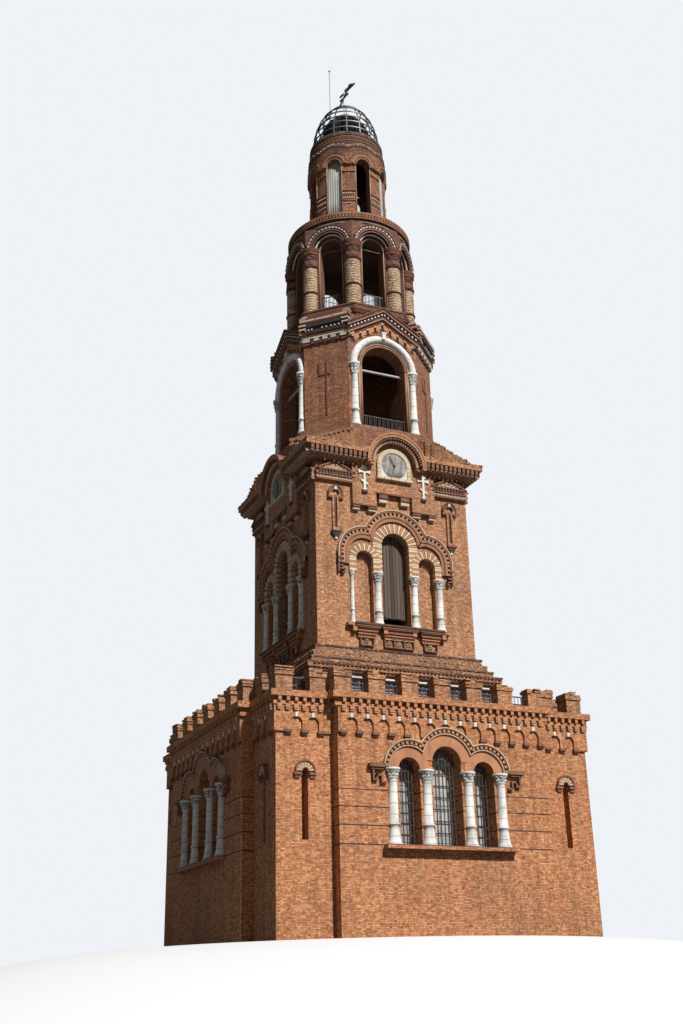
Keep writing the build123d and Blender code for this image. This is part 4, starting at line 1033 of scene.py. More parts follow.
# Corner pediments. A small gable over dentils and a row of pale blocks, with a chequer of pale bricks in
# its triangle, at both ends of each wall.
PEDIMENT_X = 1.87
PEDIMENT_HALF = 0.6
PEDIMENT_PEAK = 13.29
PEDIMENT_SLOPE = 0.285 / PEDIMENT_HALF
PEDIMENT_FACE = CLOCK_FACE + 0.09
PEDIMENT_BANDS = ((0.008, 12.955, 12.99, 0.05), (0.0, 12.80, 12.845, 0.03), (0.0, 12.65, 12.685, 0.02))
CHEQUER_FOOT = 13.03
CHEQUER_PITCH = 0.07
CHEQUER_RISE = 0.055
pediment_wall = wall(PEDIMENT_FACE)


def pediment_row(pitch, half, up, out):
    """The same block along both pediments of every side, pitch apart."""
    count = int(2 * PEDIMENT_HALF / pitch)
    places = (np.arange(count) - (count - 1) / 2) * pitch
    places = np.concatenate([places - PEDIMENT_X, places + PEDIMENT_X])
    return turned(studs(pediment_wall, places, half, up, out))


def rake(face, x, peak, slope, side):
    """(along, up, out) down one side of a gable: (x + side a, -face - out, peak - slope a + up)."""
    def place(p):
        return np.stack([x + side * p[..., 0], -face - p[..., 2], peak - slope * p[..., 0] + p[..., 1]], -1)
    return place


piece("pediment_mouldings", brown_brick, "brick", turned(
    *[blocks(rake(PEDIMENT_FACE, x, PEDIMENT_PEAK, PEDIMENT_SLOPE, side), (0.0, 0.62), (-0.055, -0.004),
             (0.0, 0.05)) for x in (-PEDIMENT_X, PEDIMENT_X) for side in (-1, 1)],
    *[studs(pediment_wall, x, PEDIMENT_HALF + more, (low, high), (0.0, out))
      for x in (-PEDIMENT_X, PEDIMENT_X) for more, low, high, out in PEDIMENT_BANDS]))
piece("pediment_dentils", dark_brick_and_shade, "brick", pediment_row(0.1, 0.027, (12.85, 12.95), (0.0, 0.045)),
      pediment_row(0.1, 0.02, (12.765, 12.8), (0.0, 0.03)))
chequer = [(x + side * (step + 0.5) * CHEQUER_PITCH, CHEQUER_FOOT + row * CHEQUER_RISE)
           for x in (-PEDIMENT_X, PEDIMENT_X) for side in (-1, 1) for row in range(4)
           for step in range(7 - 2 * row) if (row + step) % 2 == 0]
chequer_x, chequer_z = np.array(chequer).T
piece("pediment_chequer", pale_brick, "pale_stone",
      turned(studs(pediment_wall, chequer_x, 0.03, (chequer_z - 0.012, chequer_z + 0.028), (0.0, 0.014))),
      pediment_row(CHEQUER_PITCH, 0.022, (12.705, 12.745), (0.0, 0.018)))

# Keyhole pendants under the pediments. A ring of fanned bricks with a white key, small stepped feet, and a
# long sunk line, a thin strip painted dark as its shade, down to a little bracket with a chalky tip.
PENDANT_Z = 12.285
PENDANT_STONES = 11
BRACKET_STEPS = ((0.15, 11.06, 11.115, 0.12), (0.11, 10.99, 11.06, 0.095), (0.065, 10.93, 10.99, 0.075))
pendants = (-PEDIMENT_X, PEDIMENT_X)
pendant_feet = [x + side * 0.17 for x in pendants for side in (-1, 1)]
piece("pendant_fans", brown_brick, "brick", turned(
    *[fan(x, PENDANT_Z, CLOCK_FACE, 0.108, 0.2, (0.0, 0.074), PENDANT_STONES, keep)
      for x in pendants for keep in (0, 1)],
    *[ring(arch(CLOCK_FACE, x, PENDANT_Z), 0.2, 0.235, -1.9, 1.9, (0.0, 0.1), 20) for x in pendants],
    studs(clock_wall, pendant_feet, 0.075, (PENDANT_Z - 0.17, PENDANT_Z - 0.105), (0.0, 0.09))))
piece("pendant_keys", pale_stone, "pale_stone", turned(
    studs(clock_wall, pendants, 0.034, (PENDANT_Z + 0.1, PENDANT_Z + 0.215), (0.0, 0.086)),
    studs(clock_wall, pendants, 0.035, (10.865, 10.93), (0.0, 0.06))))
piece("pendant_brackets", dark_brick_and_shade, "brick", turned(
    *[studs(clock_wall, x, half, (low, high), (0.0, out)) for x in pendants
      for half, low, high, out in BRACKET_STEPS],
    studs(clock_wall, pendants, 0.026, (11.11, PENDANT_Z - 0.06), (0.0, 0.012))))

# Clock cornice. Over a thin fillet stands a row of brackets with chalky tips, under plain top courses that
# are crumbling. The round gables carry the same dentils in a ring, with a line of pale beads inside it.
CORNICE_Z = 13.39
bracket_places = np.arange(1.06, 2.85, 0.15)
bracket_places = np.concatenate([-bracket_places, bracket_places])
small_places = np.arange(-2.44, 2.45, 0.1)
small_places = small_places[np.abs(small_places) > 0.98]
gable = arch(CLOCK_FACE, 0.0, DIAL_Z)
piece("cornice_brackets", brown_brick, "brick", turned(
    studs(clock_wall, bracket_places, 0.045, (CORNICE_Z + 0.03, CORNICE_Z + 0.19), (0.28, 0.415)),
    studs(clock_wall, small_places, 0.028, (13.22, 13.292), (0.0, 0.165)),
    ring(gable, 0.775, 0.843, -1.52, 1.52, (0.28, 0.415), 29, 0.45)))
piece("cornice_bracket_tips", pale_brick, "brick", turned(
    studs(clock_wall, bracket_places, 0.036, (CORNICE_Z - 0.008, CORNICE_Z + 0.03), (0.17, 0.385)),
    ring(gable, 0.853, 0.874, -1.55, 1.55, (0.42, 0.447), 44, 0.5)))
piece("gable_rolls", orange_brick, "brick", turned(
    ring(gable, 0.706, 0.757, -1.57, 1.57, (0.28, 0.335), 48),
    ring(gable, 0.93, 0.975, -1.57, 1.57, (0.3, 0.45), 48)))
piece("gable_line", pale_stone, "brick", turned(ring(gable, 0.692, 0.706, -1.57, 1.57, (0.29, 0.315), 48)))
CLOCK_TOP = 13.766
piece("cornice_top_courses", ragged_brick, "brick",
      *[turned(ragged_course(50 + side, 2.91, 13.69, CLOCK_TOP, 0.03, 0.9, clear=1.02), angles=(90 * side,))
        for side in range(4)])

# Brick heaps on the corners of the clock storey. The sloped brickwork that once carried roof sheets up to
# the octagon lies bare and has slumped into ragged steps: single bricks over a solid core.
CORNERS = (45, 135, 225, 315)
HEAP_ROWS = 15
HEAP_AWAY = 3.93
HEAP_IN = 0.105
HEAP_RISE = 0.062
HEAP_BRICK = 0.125
HEAP_TIP = 4.05
HEAP_HALF = 1.0


def heap(seed):
    """Bricks stacked across one corner, row behind row: the further in towards the octagon, the higher."""
    luck = np.random.default_rng(seed)
    parts = []
    for row in range(HEAP_ROWS):
        away = HEAP_AWAY - row * HEAP_IN
        half = min(HEAP_TIP - away, HEAP_HALF)
        count = int(2 * half / HEAP_BRICK)
        if count < 1:
            continue
        places = np.linspace(-half, half, count, endpoint=False) + luck.uniform(-0.02, 0.02, count)
        high = CLOCK_TOP + 0.02 + row * HEAP_RISE + luck.uniform(-0.012, 0.02, count)
        out = away + luck.uniform(-0.03, 0.03, count)
        parts.append(blocks(wall(0.0), (places, places + HEAP_BRICK - 0.01), (high - 0.06, high),
                            (out - 0.12, out)))
    return joined(*parts)


piece("corner_heaps", ragged_brick, "brick",
      *[turned(heap(70 + side), angles=(90 * side - 45,)) for side in range(4)])
heap_rows = np.arange(1, HEAP_ROWS)
heap_away = HEAP_AWAY - HEAP_IN * heap_rows
heap_half = np.minimum(HEAP_TIP - heap_away, HEAP_HALF) + 0.03
heap_top = CLOCK_TOP - 0.035 + HEAP_RISE * heap_rows
piece("heap_cores", clock_brick, "brick", turned(
    blocks(wall(0.0), (-heap_half, heap_half), (CLOCK_TOP - 0.02, heap_top),
           (heap_away - 0.2, heap_away - 0.03)), angles=CORNERS))

# Bell storey walls. A brick octagon, redder and sootier than the storeys below, with a tall round arch in
# each wide face.
BELL_REDS = ((0.0, (0.07, 0.022, 0.015, 1)), (0.3, (0.22, 0.070, 0.032, 1)),
             (0.7, (0.34, 0.120, 0.052, 1)), (1.0, (0.58, 0.27, 0.13, 1)))
BURNT_REDS = ((0.0, (0.03, 0.015, 0.012, 1)), (0.3, (0.095, 0.038, 0.026, 1)),
              (0.7, (0.19, 0.068, 0.040, 1)), (1.0, (0.36, 0.15, 0.08, 1)))
bell_brick = masonry("bell_brick", reds=BELL_REDS, soot=0.45)
dress(bell_brick, "bell_arch_walls", "bell_corner_walls", "bell_base")
dress(masonry("burnt_brick", reds=BURNT_REDS, soot=0.7), "bell_cornice")
BELL_FACE = 2.228
BELL_FLOOR = 14.716
BELL_SPRING = 16.872
BELL_NARROW = 2.419

# White bell arches. A thick half-round roll of white stone over each opening, jointed into stones, with a
# key block. Inside it run a thin buff roll and a brown one, and they go on down the jambs.
ROLL_TURNS = 16
bell_hub = arch(BELL_FACE, 0.0, BELL_SPRING)
bell_wall = wall(BELL_FACE)


def roll(bend, radius, thick, start, end, rise=0.0, steps=40):
    """A round moulding: (a, radius + thick cos t, rise + thick sin t), closed at both ends."""
    a = np.concatenate([[start], np.linspace(start, end, steps), [end]])[:, None]
    t = np.linspace(0, 2 * np.pi, ROLL_TURNS, endpoint=False)
    size = thick * np.concatenate([[0.0], np.ones(steps), [0.0]])[:, None]
    points = np.stack(np.broadcast_arrays(a, radius + size * np.cos(t), rise + size * np.sin(t)), -1)
    return skin(bend(points))


def rod(bend, start, end, thick):
    """A straight round bar between two points (along, up, out), closed at both ends."""
    start, end = np.array(start, float), np.array(end, float)
    line = end - start
    side = np.cross(line, [0.3, 0.2, 1.0])
    side /= np.linalg.norm(side)
    other = np.cross(line, side) / np.linalg.norm(line)
    t = np.linspace(0, 2 * np.pi, 12, endpoint=False)
    rim = thick * (np.cos(t)[:, None] * side + np.sin(t)[:, None] * other)
    rows = [start + 0 * rim, start + rim, end + rim, end + 0 * rim]
    return skin(bend(np.stack(rows)))


def jointed_white(name):
    """White stones of an arch: dark joints that point at the arch's centre, wear and rain streaks."""
    paint = Paint(name)
    along, up, _, point = flat_run(paint)
    turn = paint.math("ARCTAN2", along, up - BELL_SPRING) * (1 / 0.2)
    gap = turn.part()
    solid = gap.least(1 - gap).ease(0.02, 0.06)
    broad = paint.noise(point, 2.6, 4.0, 0.6)
    grain = paint.noise(point, 30.0, 4.0, 0.65)
    dull = (broad * 0.7 + grain * 0.6).ease(0.5, 0.95)
    colour = paint.mix(dull, (0.84, 0.82, 0.78, 1), (0.62, 0.58, 0.52, 1))
    chip = (grain + broad * 0.6).ease(0.98, 1.12) * 0.75
    colour = paint.mix(chip, colour, (0.30, 0.21, 0.15, 1))
    colour = paint.mix((1 - solid) * 0.55, colour, LICHEN)
    return paint.finish(colour, 0.85, paint.bump(solid * 0.6 + grain * 0.5 - chip, 0.005))


white_arch = jointed_white("white_arch")
buff_brick = weathered("buff_brick", (0.42, 0.30, 0.19, 1), (0.19, 0.12, 0.08, 1), 0.35)
piece("bell_arch_rolls", white_arch, "pale_stone",
      turned(roll(bell_hub, 1.025, 0.116, -np.pi / 2, np.pi / 2)), node="bell_arch_surrounds", smooth=True)


def bell_roll(radius, thick, out):
    """A roll round the opening, with a rod down each jamb."""
    return joined(roll(bell_hub, radius, thick, -np.pi / 2, np.pi / 2, out),
                  *[rod(bell_wall, (x, BELL_FLOOR, out), (x, BELL_SPRING, out), thick)
                    for x in (-radius, radius)])


piece("bell_buff_rolls", buff_brick, "brick", turned(bell_roll(0.838, 0.03, 0.012)), smooth=True)
piece("bell_key_stones", pale_stone, "pale_stone", turned(
    slabs(bell_wall, (-0.06, 0.06, 17.86, 18.09, 0.0, 0.165), (-0.082, 0.082, 18.055, 18.105, 0.0, 0.18))))
piece("bell_inner_rolls", rust_brick, "brick", turned(
    bell_roll(0.77, 0.034, 0.0),
    ring(bell_hub, 0.875, 0.912, -np.pi / 2, np.pi / 2, (0.0, 0.022), 44)), smooth=True)
piece("bell_inner_shade", dark_brick_and_shade, "brick", turned(
    ring(bell_hub, 0.798, 0.815, -np.pi / 2, np.pi / 2, (0.0, 0.008), 44),
    slabs(bell_wall, (-0.815, -0.798, BELL_FLOOR, BELL_SPRING, 0.0, 0.008),
          (0.798, 0.815, BELL_FLOOR, BELL_SPRING, 0.0, 0.008))))

# Bell arch columns. White half columns with carved capitals carry the roll. Each has a ring low on its
# shaft, like the columns below.
piece("bell_columns_turned", white_column, "pale_stone", turned(
    *[column(x, BELL_FACE, 0.108, BELL_FLOOR, BELL_SPRING + 0.01, 0.17, 0.4) for x in (-1.0, 1.0)]),
      node="bell_columns", smooth=True)

# Ties and railings of the bell arches. A grey painted pipe across each spring, and a thin dark railing with
# close bars between the jambs.


def tie_paint():
    """Grey paint on the ties, and black below them on the railings."""
    paint = Paint("tie_paint")
    (_, _, z), point = paint.place()
    colour = paint.mix(paint.noise(point, 9.0).ease(0.5, 0.75), (0.50, 0.48, 0.45, 1), (0.20, 0.14, 0.10, 1))
    return paint.finish(paint.mix(z.ease(16.0, 16.1), (0.030, 0.026, 0.024, 1), colour), 0.7)


dress(tie_paint(), "bell_ties_and_railings")
bell_rail = wall(BELL_FACE - 0.12)
bell_bars = np.linspace(-0.7, 0.7, 20)
piece("bell_railing_bars", grille_iron, "iron", turned(
    studs(bell_rail, bell_bars, 0.004, (BELL_FLOOR, BELL_FLOOR + 0.49), (-0.008, 0.02)),
    blocks(bell_rail, (-0.74, 0.74), (BELL_FLOOR + 0.48, BELL_FLOOR + 0.502), (-0.01, 0.02))))

# Relief crosses on the narrow walls. A long thin upright with a short arm and a stroke over its left end,
# raised, and painted darker than the wall as painted shade.
narrow_wall = wall(BELL_NARROW)
rust_shade = weathered("rust_shade", (0.21, 0.075, 0.042, 1), (0.10, 0.04, 0.026, 1), 0.5)
piece("narrow_wall_crosses", rust_shade, "brick", turned(
    slabs(narrow_wall, (-0.016, 0.03, 15.215, 17.1, 0.0, 0.03), (-0.25, 0.15, 16.60, 16.645, 0.0, 0.03),
          (-0.25, -0.21, 16.645, 17.06, 0.0, 0.03)), angles=CORNERS))

# Cornice of the narrow walls. White blocks with round gaps between them, painted dark as shade, hang on
# stepped brick feet. Over them a band painted black as the shade of its hollow is dotted with white dentil
# tips, under a chalky line and rough red courses.
# A near-black colour used as painted shade: in the gaps, the hollows behind dentils and the dark bands under
# ledges below.
painted_shade_black = weathered("painted_shade_black", (0.055, 0.032, 0.026, 1), (0.022, 0.015, 0.013, 1), 0.3)
worn_white = weathered("worn_white", (0.66, 0.58, 0.45, 1), (0.40, 0.29, 0.19, 1), 0.3)
BLOCK_FOOT = 17.84
BLOCK_TOP = 17.945
narrow_gaps = np.array([-0.42, -0.14, 0.14, 0.42])
narrow_blocks = np.array([-0.28, 0.0, 0.28])
narrow_dots = np.array([-0.63, -0.52, -0.41, -0.06, 0.08, 0.24, 0.36, 0.50, 0.62])
piece("narrow_white_band", worn_white, "pale_stone", turned(
    blocks(narrow_wall, (-0.76, 0.76), (BLOCK_TOP, 18.015), (0.0, 0.082)),
    studs(narrow_wall, narrow_blocks, 0.088, (BLOCK_FOOT, BLOCK_TOP), (0.0, 0.076)),
    slabs(narrow_wall, (-0.74, -0.51, BLOCK_FOOT, BLOCK_TOP, 0.0, 0.076),
          (0.51, 0.74, BLOCK_FOOT, BLOCK_TOP, 0.0, 0.076)), angles=CORNERS),
      turned(studs(bell_wall, (-1.085, 1.085), 0.085, (17.86, 17.99), (0.0, 0.075))))
piece("narrow_dark_gaps", dark_brick_and_shade, "brick", turned(
    *[ring(arch(BELL_NARROW, x, 17.905), 0.0, 0.05, -np.pi / 2, np.pi / 2, (0.0, 0.086), 10)
      for x in narrow_gaps],
    studs(narrow_wall, narrow_gaps, 0.05, (17.75, 17.906), (0.0, 0.068)), angles=CORNERS))
piece("narrow_feet", rust_shade, "brick", turned(
    studs(narrow_wall, narrow_blocks, 0.075, (17.77, BLOCK_FOOT), (0.0, 0.055)),
    studs(narrow_wall, narrow_blocks, 0.045, (17.71, 17.77), (0.0, 0.035)),
    slabs(narrow_wall, (-0.73, -0.53, 17.74, BLOCK_FOOT, 0.0, 0.05),
          (0.53, 0.73, 17.74, BLOCK_FOOT, 0.0, 0.05),
          (-0.78, 0.78, 18.46, 18.51, 0.1, 0.197), (-0.74, 0.74, 18.575, 18.66, 0.0, 0.17),
          (-0.78, 0.78, 18.02, 18.06, 0.0, 0.1)), angles=CORNERS))
piece("narrow_black_band", painted_shade_black, "brick", turned(
    slabs(narrow_wall, (-0.76, 0.76, 18.06, 18.115, 0.0, 0.07), (-0.775, 0.775, 18.095, 18.33, 0.0, 0.127),
          (-0.80, 0.80, 18.322, 18.46, 0.0, 0.186)), angles=CORNERS))
piece("narrow_white_dots", pale_stone, "pale_stone",
      turned(studs(narrow_wall, narrow_dots, 0.02, (18.205, 18.25), (0.1, 0.15)), angles=CORNERS))
piece("narrow_chalk_line", cream_brick, "brick", turned(
    slabs(narrow_wall, (-0.80, -0.30, 18.515, 18.56, 0.1, 0.205), (-0.26, 0.30, 18.52, 18.565, 0.1, 0.195),
          (0.33, 0.78, 18.52, 18.57, 0.1, 0.205)), angles=CORNERS))

# Raking cornices of the wide walls. Arched gaps painted dark as shade, with a chalky block over each, climb
# with the slope between brick corbels. Over them run a red roll, a band painted dark as the shade of its
# hollow with white dots, and brown courses.
RAKE_PEAK = 19.006
RAKE_SLOPE = 0.76 / 1.2676
rake_gaps = np.arange(0.262, 1.1, 0.262)
rake_legs = np.arange(0.131, 1.1, 0.262)
rake_dots = np.arange(0.05, 1.24, 0.12)


def on_rakes(along, up, out):
    """Blocks down both slopes of every wide wall."""
    return turned(*[blocks(rake(BELL_FACE, 0.0, RAKE_PEAK, RAKE_SLOPE, side), along, up, out)
                    for side in (-1, 1)])


piece("rake_gaps", painted_shade_black, "brick",
      on_rakes((rake_gaps - 0.036, rake_gaps + 0.036), (-0.76, -0.56), (0.0, 0.006)),
      turned(blocks(bell_wall, (-0.042, 0.042), (18.15, 18.44), (0.0, 0.006))),
      on_rakes((rake_gaps - 0.07, rake_gaps - 0.036), (-0.76, -0.70), (0.0, 0.006)))
piece("rake_corbels", orange_brick, "brick",
      on_rakes((rake_legs - 0.088, rake_legs + 0.088), (-0.70, -0.52), (0.0, 0.055)),
      on_rakes((rake_legs - 0.055, rake_legs + 0.055), (-0.76, -0.70), (0.0, 0.035)))
piece("rake_blocks", pale_brick, "pale_stone",
      on_rakes((rake_gaps - 0.036, rake_gaps + 0.03), (-0.565, -0.52), (0.0, 0.068)),
      turned(blocks(bell_wall, (-0.045, 0.045), (18.44, 18.49), (0.0, 0.068))))
piece("rake_rolls", rust_brick, "brick", on_rakes((0.0, 1.24), (-0.40, -0.345), (0.02, 0.125)),
      on_rakes((0.0, 1.26), (-0.165, -0.125), (0.1, 0.2)))
piece("rake_courses", rust_shade, "brick", on_rakes((0.0, 1.22), (-0.50, -0.47), (0.0, 0.078)),
      on_rakes((0.0, 1.27), (-0.045, 0.004), (0.1, 0.205)))
piece("rake_black_band", painted_shade_black, "brick", on_rakes((0.0, 1.24), (-0.31, -0.17), (0.05, 0.127)))
piece("rake_dots", pale_stone, "pale_stone",
      on_rakes((rake_dots - 0.024, rake_dots + 0.024), (-0.26, -0.212), (0.1, 0.16)))

# Corner stacks. White slabs lie between dark courses where the narrow cornice meets the rakes; a curved
# orange brick and a chalky cap end each stack under the ledge.
slab_z = np.array([18.09, 18.25, 18.36])
slab_out = np.array([0.12, 0.17, 0.205])
stacks = (-0.715, 0.715)
piece("corner_slabs", worn_white, "pale_stone", turned(
    *[studs(narrow_wall, x, 0.115, (slab_z, slab_z + 0.05), (-0.05, slab_out)) for x in stacks],
    studs(narrow_wall, stacks, 0.09, (18.74, 18.79), (-0.25, 0.06)), angles=CORNERS))
piece("corner_rolls", orange_brick, "brick",
      turned(studs(narrow_wall, stacks, 0.1, (18.58, 18.66), (-0.15, 0.185)), angles=CORNERS))

# Base courses of the bell storey. Two bands of ragged brick ends run round the square base of the octagon,
# at its foot and under its floor.
piece("bell_base_courses", ragged_brick, "brick",
      *[turned(ragged_course(90 + side, 2.428, low, low + 0.11, 0.02, 0.92, 1.0), angles=(90 * side,))
        for side in range(4) for low in (13.78, 14.60)])

# Upper arcade walls and ledge. Brick bays under stepped arches on an octagonal ledge and plinth, whose top
# is dark with moss and old flashing.
arcade_brick = masonry("arcade_brick", reds=BURNT_REDS, soot=0.5, lime=0.3)
dress(arcade_brick, "arcade_ledge", "arcade_wall_front", "arcade_wall_back")
ARCADE_FLOOR = 18.90
ARCADE_WALL = 1.79
ARCADE_HEAD = 1.98
ARCADE_SPRING = 21.564
ABACUS_TOP = 21.674
OCTANT = tuple(range(0, 360, 45))
LEDGE = 2.228
PLINTH_FACE = 2.12
PLINTH_CAP = 19.13
arcade_wall = wall(ARCADE_WALL)


def octagon_side(face, up, out):
    """A plain course along one side of an octagon, face away from the axis: face tan(22.5) to either side."""
    return studs(wall(face), 0.0, face * math.tan(math.pi / 8), up, out)


piece("ledge_flashing", dark_brick_and_shade, "brick",
      turned(octagon_side(LEDGE, (ARCADE_FLOOR - 0.035, ARCADE_FLOOR + 0.012), (-0.25, 0.022)),
             angles=OCTANT))
ledge_bricks = np.linspace(-0.86, 0.82, 28)
piece("ledge_courses", rust_shade, "brick", turned(
    blocks(wall(LEDGE - 0.07), (ledge_bricks, ledge_bricks + 0.042), (18.66, 18.74), (-0.03, 0.05)),
    octagon_side(LEDGE, (18.80, 18.83), (-0.03, 0.015)), angles=OCTANT))
piece("arcade_plinth", rust_shade, "brick", turned(
    octagon_side(PLINTH_FACE, (ARCADE_FLOOR, PLINTH_CAP), (-0.22, 0.0)),
    octagon_side(PLINTH_FACE, (PLINTH_CAP, PLINTH_CAP + 0.06), (-0.22, 0.022)), angles=OCTANT))

# Arcade arches. From the inside out: a thin pale roll, a second pale roll on the step, a brown band, and an
# outer ring of dentils with white beads, which ends on the piers. Strips of darker brick run up the jambs,
# and an iron tie and a railing cross each opening.
arcade_hub = arch(ARCADE_HEAD, 0.0, ARCADE_SPRING)
BEAD_SPAN = 1.42
piece("arcade_beads", pale_stone, "pale_stone",
      turned(ring(arcade_hub, 0.70, 0.738, -BEAD_SPAN, BEAD_SPAN, (0.0, 0.075), 16, 0.36), angles=OCTANT))
piece("arcade_archivolts", brown_brick, "brick",
      turned(ring(arcade_hub, 0.775, 0.80, -1.3, 1.3, (0.0, 0.085), 30),
                    ring(arcade_hub, 0.62, 0.675, -BEAD_SPAN, BEAD_SPAN, (0.0, 0.05), 30),
                    ring(arcade_hub, 0.545, 0.58, -BEAD_SPAN, BEAD_SPAN, (0.0, 0.03), 30), angles=OCTANT))
piece("arcade_archivolt_shade", painted_shade_black, "brick", turned(
    ring(arcade_hub, 0.675, 0.775, -BEAD_SPAN, BEAD_SPAN, (0.0, 0.05), 30),
    ring(arcade_hub, 0.58, 0.62, -BEAD_SPAN, BEAD_SPAN, (0.0, 0.012), 30), angles=OCTANT))
piece("arcade_white_rolls", pale_stone, "pale_stone",
      turned(roll(arcade_hub, 0.506, 0.026, -1.5, 1.5, -0.085, 30), angles=OCTANT), smooth=True)
piece("arcade_pale_rolls", buff_brick, "pale_stone", turned(
    roll(arcade_hub, 0.398, 0.018, -1.57, 1.57, -0.185, 26),
    *[rod(arcade_wall, (x, 19.4, 0.0), (x, ARCADE_SPRING, 0.0), 0.018) for x in (-0.402, 0.402)],
    angles=OCTANT), smooth=True)
jambs = np.array([-1, 1])
piece("arcade_jamb_strips", rust_shade, "brick",
      turned(studs(arcade_wall, jambs * 0.475, 0.032, (19.0, 21.5), (0.0, 0.03)), angles=OCTANT))
piece("arcade_jamb_shade", dark_brick_and_shade, "brick",
      turned(studs(arcade_wall, jambs * 0.535, 0.02, (19.0, 21.5), (0.0, 0.012)), angles=OCTANT))
tie_rust = painted("tie_rods", (0.30, 0.27, 0.24, 1), (0.13, 0.08, 0.06, 1), 0.4)
TIE_Z = ARCADE_SPRING + 0.02
piece("arcade_ties", tie_rust, "iron",
      turned(rod(arcade_wall, (-0.42, TIE_Z, -0.12), (0.42, TIE_Z, -0.12), 0.011), angles=OCTANT),
      smooth=True)
dress(grille_iron, "arcade_railings")
arcade_bars = np.linspace(-0.36, 0.36, 12)
piece("arcade_railing_bars", grille_iron, "iron",
      turned(studs(wall(ARCADE_WALL - 0.12), arcade_bars, 0.004, (19.38, 19.87), (-0.006, 0.014)),
             angles=OCTANT))

# Arcade piers. Round piers of blotched pale and brown courses, with a dark ring at two fifths of their
# height, and dark red capitals carved with a lattice under a wide flat abacus.
PIER_AWAY = 1.90
PIER_FOOT = 19.20
PIER_NECK = 20.964
PIER_TURNS = 48
PIER_RING = 19.99
PIER_COURSE = 0.049
ABACUS_FOOT = ABACUS_TOP - 0.15
ABACUS_EDGE = ABACUS_TOP - 0.05


def pier():
    """R(z) = 0.25 + 0.003 cos of the courses; the capital's lattice is |sin(4a + kz) sin(4a - kz)|."""
    z = np.concatenate([[ARCADE_FLOOR, ARCADE_FLOOR], np.linspace(ARCADE_FLOOR + 0.001, PIER_FOOT, 3),
                        np.linspace(PIER_FOOT, PIER_NECK, 73), np.linspace(PIER_NECK, ABACUS_TOP - 0.18, 18),
                        np.repeat([ABACUS_FOOT, ABACUS_EDGE, ABACUS_TOP], 2)])[:, None]
    a = np.linspace(0, 2 * np.pi, PIER_TURNS, endpoint=False)
    courses = np.cos((z - PIER_FOOT) / PIER_COURSE * np.pi)
    shaft = 0.25 + 0.003 * courses + 0.03 * (np.abs(z - PIER_RING) < 0.03)
    lattice = np.abs(np.sin(4 * a + 9 * (z - PIER_NECK)) * np.sin(4 * a - 9 * (z - PIER_NECK)))
    block = 0.252 + 0.02 * lattice + 0.03 * (z > ABACUS_TOP - 0.24) + 0.025 * (z < PIER_NECK + 0.045)
    reach = np.where(z >= PIER_NECK, block, np.where(z <= PIER_FOOT, 0.283, shaft)) + 0 * a
    reach = np.where(z >= ABACUS_FOOT, 0.296 + 0.024 * (z >= ABACUS_EDGE), reach)
    reach[0] = 0.0
    reach[-1] = 0.0
    return skin(np.stack([reach * np.cos(a), reach * np.sin(a) - PIER_AWAY, z + 0 * a], -1))


def banded():
    """Blotched pale and brown courses, a dark ring, and a lattice cut in the dark red capital,
    its cuts painted near black as shade.

    The eight piers share one angle a about their own axes: the fold of the tower's angle to 45 degrees
    gives (r sin, r cos - 1.9), and a is the angle of that.
    """
    paint = Paint("banded_brick")
    (x, y, z), point = paint.place()
    broad = paint.noise(point, 3.0, 4.0, 0.6)
    grain = paint.noise(point, 20.0, 4.0, 0.7)
    course = (z - PIER_FOOT) / PIER_COURSE
    pale = abs((course * 0.5).part() - 0.5) * 2
    ragged = (pale * 0.6 + (grain - 0.5) * 3.4 + (broad - 0.5) * 1.4).ease(0.05, 0.75)
    colour = paint.mix(ragged, (0.20, 0.10, 0.055, 1), (0.66, 0.50, 0.31, 1))
    colour = paint.mix((grain + broad * 0.6).ease(0.86, 1.05) * 0.6, colour, (0.34, 0.13, 0.065, 1))
    away = paint.math("SQRT", x * x + y * y)
    fold = ((paint.math("ARCTAN2", y, x) * (4 / math.pi) - 0.5).part() - 0.5) * (math.pi / 4)
    away = away * paint.math("COSINE", fold) - PIER_AWAY
    turn = paint.math("ARCTAN2", paint.math("SQRT", x * x + y * y) * paint.math("SINE", fold), away)
    rise = (z - PIER_NECK) * 9.0
    lattice = abs(paint.math("SINE", turn * 4 + rise) * paint.math("SINE", turn * 4 - rise))
    # Painted shade: the lattice's low parts go near black, as shade in the cuts.
    raised = (lattice + (grain - 0.5) * 0.8).ease(0.12, 0.5)
    carved = paint.mix(raised, (0.03, 0.014, 0.011, 1), (0.20, 0.070, 0.042, 1))
    abacus = paint.mix(grain.ease(0.35, 0.7), (0.19, 0.055, 0.03, 1), (0.09, 0.032, 0.022, 1))
    carved = paint.mix(z.ease(ABACUS_FOOT - 0.02, ABACUS_FOOT), carved, abacus)
    colour = paint.mix(z.ease(PIER_NECK - 0.01, PIER_NECK + 0.01), colour, carved)
    collar = 1 - abs(z - (PIER_NECK + 0.01)).ease(0.025, 0.04)
    dark_ring = 1 - abs(z - PIER_RING).ease(0.028, 0.04)
    colour = paint.mix(dark_ring.most(collar) * 0.9, colour, (0.045, 0.025, 0.02, 1))
    colour = paint.mix((broad + grain * 0.3).ease(0.78, 0.98) * 0.5, colour, SOOT_AND_SHADE)
    return paint.finish(colour, 0.9, paint.bump(grain + pale * 0.5, 0.006))


pier_angles = tuple(22.5 + 45 * k for k in range(8))
piece("arcade_piers_banded", banded(), "brick", turned(pier(), angles=pier_angles), node="arcade_piers")

# Arcade cornice. A round cornice of moulded brick: dentils in its hollow, a pale line under them and an iron
# bracket on its top.
CORNICE_FACE = 2.08
HOLLOW_FACE = CORNICE_FACE - 0.06
CORNICE_TOP = 22.77
CORNICE_BRICKS = 118
BRACKET_ANGLE = 64
round_brick = masonry("round_brick", round_run(2.2), reds=BURNT_REDS, soot=0.5)
dress(round_brick, "arcade_cornice")


